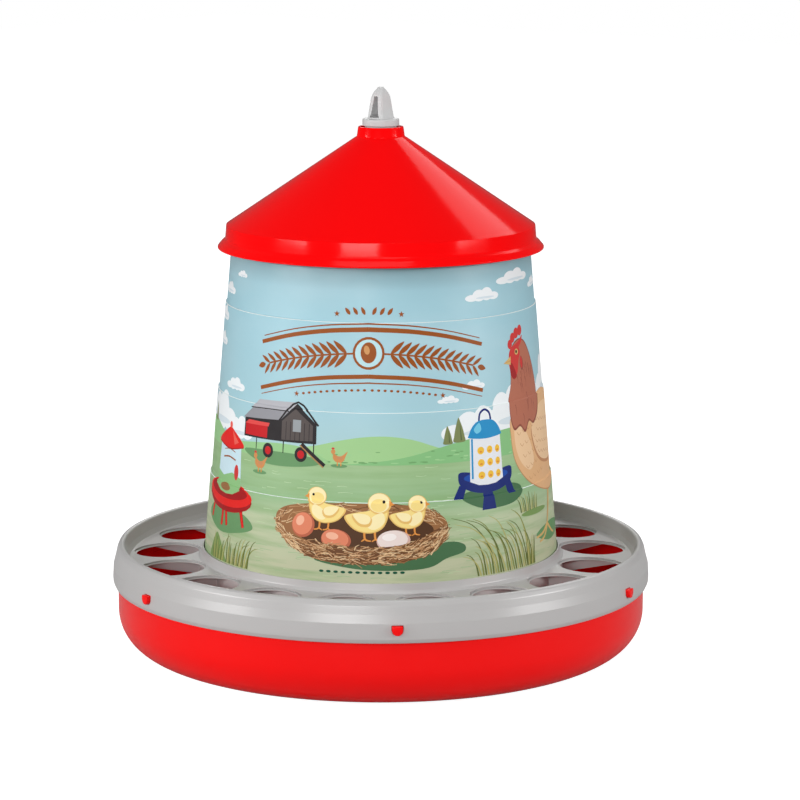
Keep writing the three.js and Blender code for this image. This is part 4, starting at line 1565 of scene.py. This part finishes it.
# ---------------------------------------------------------------- printed scene: ink on the hopper
def print_inks(names):
    """One matt ink for each colour used, with its own slight tooth and uneven sheen."""
    inks = {}
    for name in names:
        red, green, blue = INKS[name]
        shader = Shader("ink_" + name)
        shader.set(Base_Color=(*linear(red, green, blue), 1))
        matt_film(shader, 0.42, 0.6, 0.25)
        inks[name] = shader.material
    return inks


def ring_area(outline):
    return sum(a[0] * b[1] - b[0] * a[1] for a, b in zip(outline, outline[1:] + outline[:1])) / 2


def lies_inside(point, outline):
    inside = False
    for a, b in zip(outline, outline[1:] + outline[:1]):
        if (a[1] > point.y) != (b[1] > point.y):
            crossing = a[0] + (point.y - a[1]) * (b[0] - a[0]) / (b[1] - a[1])
            if point.x < crossing:
                inside = not inside
    return inside


def flat_print(shapes):
    """The artwork as one flat sheet of triangles that never overlap, each with the ink that lies on top."""
    points, edges, faces = [], [], []
    for _, outline in shapes:
        base = len(points)
        points += [Vector(p) for p in (outline if ring_area(outline) > 0 else outline[::-1])]
        faces.append(list(range(base, base + len(outline))))

    def rule(start, end):
        points.extend([Vector(start), Vector(end)])
        edges.append((len(points) - 2, len(points) - 1))

    columns = round(2 * PRINT_HALF / PRINT_COLUMN)
    for i in range(columns + 1):
        across = -PRINT_HALF + 2 * PRINT_HALF * i / columns
        rule((across, PRINT_FOOT), (across, PRINT_TOP))
    heights = [PRINT_FOOT, PRINT_TOP]
    for step in HOPPER_STEPS:
        heights += [step, step + HOPPER_STEP_RISE]
    for height in heights:
        rule((-PRINT_HALF, height), (PRINT_HALF, height))
    made, _, triangles, _, _, sources = geometry.delaunay_2d_cdt(points, edges, faces, 0, 1e-4)
    kept = []
    for triangle, source in zip(triangles, sources):
        centre = sum((made[i] for i in triangle), Vector((0, 0))) / 3
        if abs(centre.x) < PRINT_HALF and PRINT_FOOT < centre.y < PRINT_TOP:
            for index in sorted(source, reverse=True):
                if lies_inside(centre, shapes[index][1]):
                    kept.append((triangle, shapes[index][0]))
                    break
    return made, kept


def add_print():
    shapes = farm_scene()
    names = sorted({ink for ink, _ in shapes})
    inks = print_inks(names)
    made, kept = flat_print(shapes)
    used = sorted({i for triangle, _ in kept for i in triangle})
    place = {old: new for new, old in enumerate(used)}
    for copy, azimuth in enumerate((PRINT_AZIMUTH, PRINT_AZIMUTH + 180)):
        vertices = []
        for i in used:
            across, height = made[i]
            radius = film_radius(height) + PRINT_LIFT
            turn = math.degrees(across / PRINT_RADIUS)
            vertices.append(Vector(polar(radius, azimuth + turn, height)) * MM)
        mesh = bpy.data.meshes.new(f"hopper_print_{copy + 1}")
        mesh.from_pydata(vertices, [], [tuple(place[i] for i in triangle) for triangle, _ in kept])
        for name in names:
            mesh.materials.append(inks[name])
        mesh.polygons.foreach_set("material_index", [names.index(ink) for _, ink in kept])
        film = bpy.data.objects.new(mesh.name, mesh)
        bpy.context.scene.collection.objects.link(film)
        finish_mesh(film)
        stand_for(film, "hopper", "printed_hopper")


add_camera()
add_studio()
add_tray()
add_snap_tabs()
add_ring()
add_hopper()
add_print()
add_lid()
add_eye()
add_hardware()
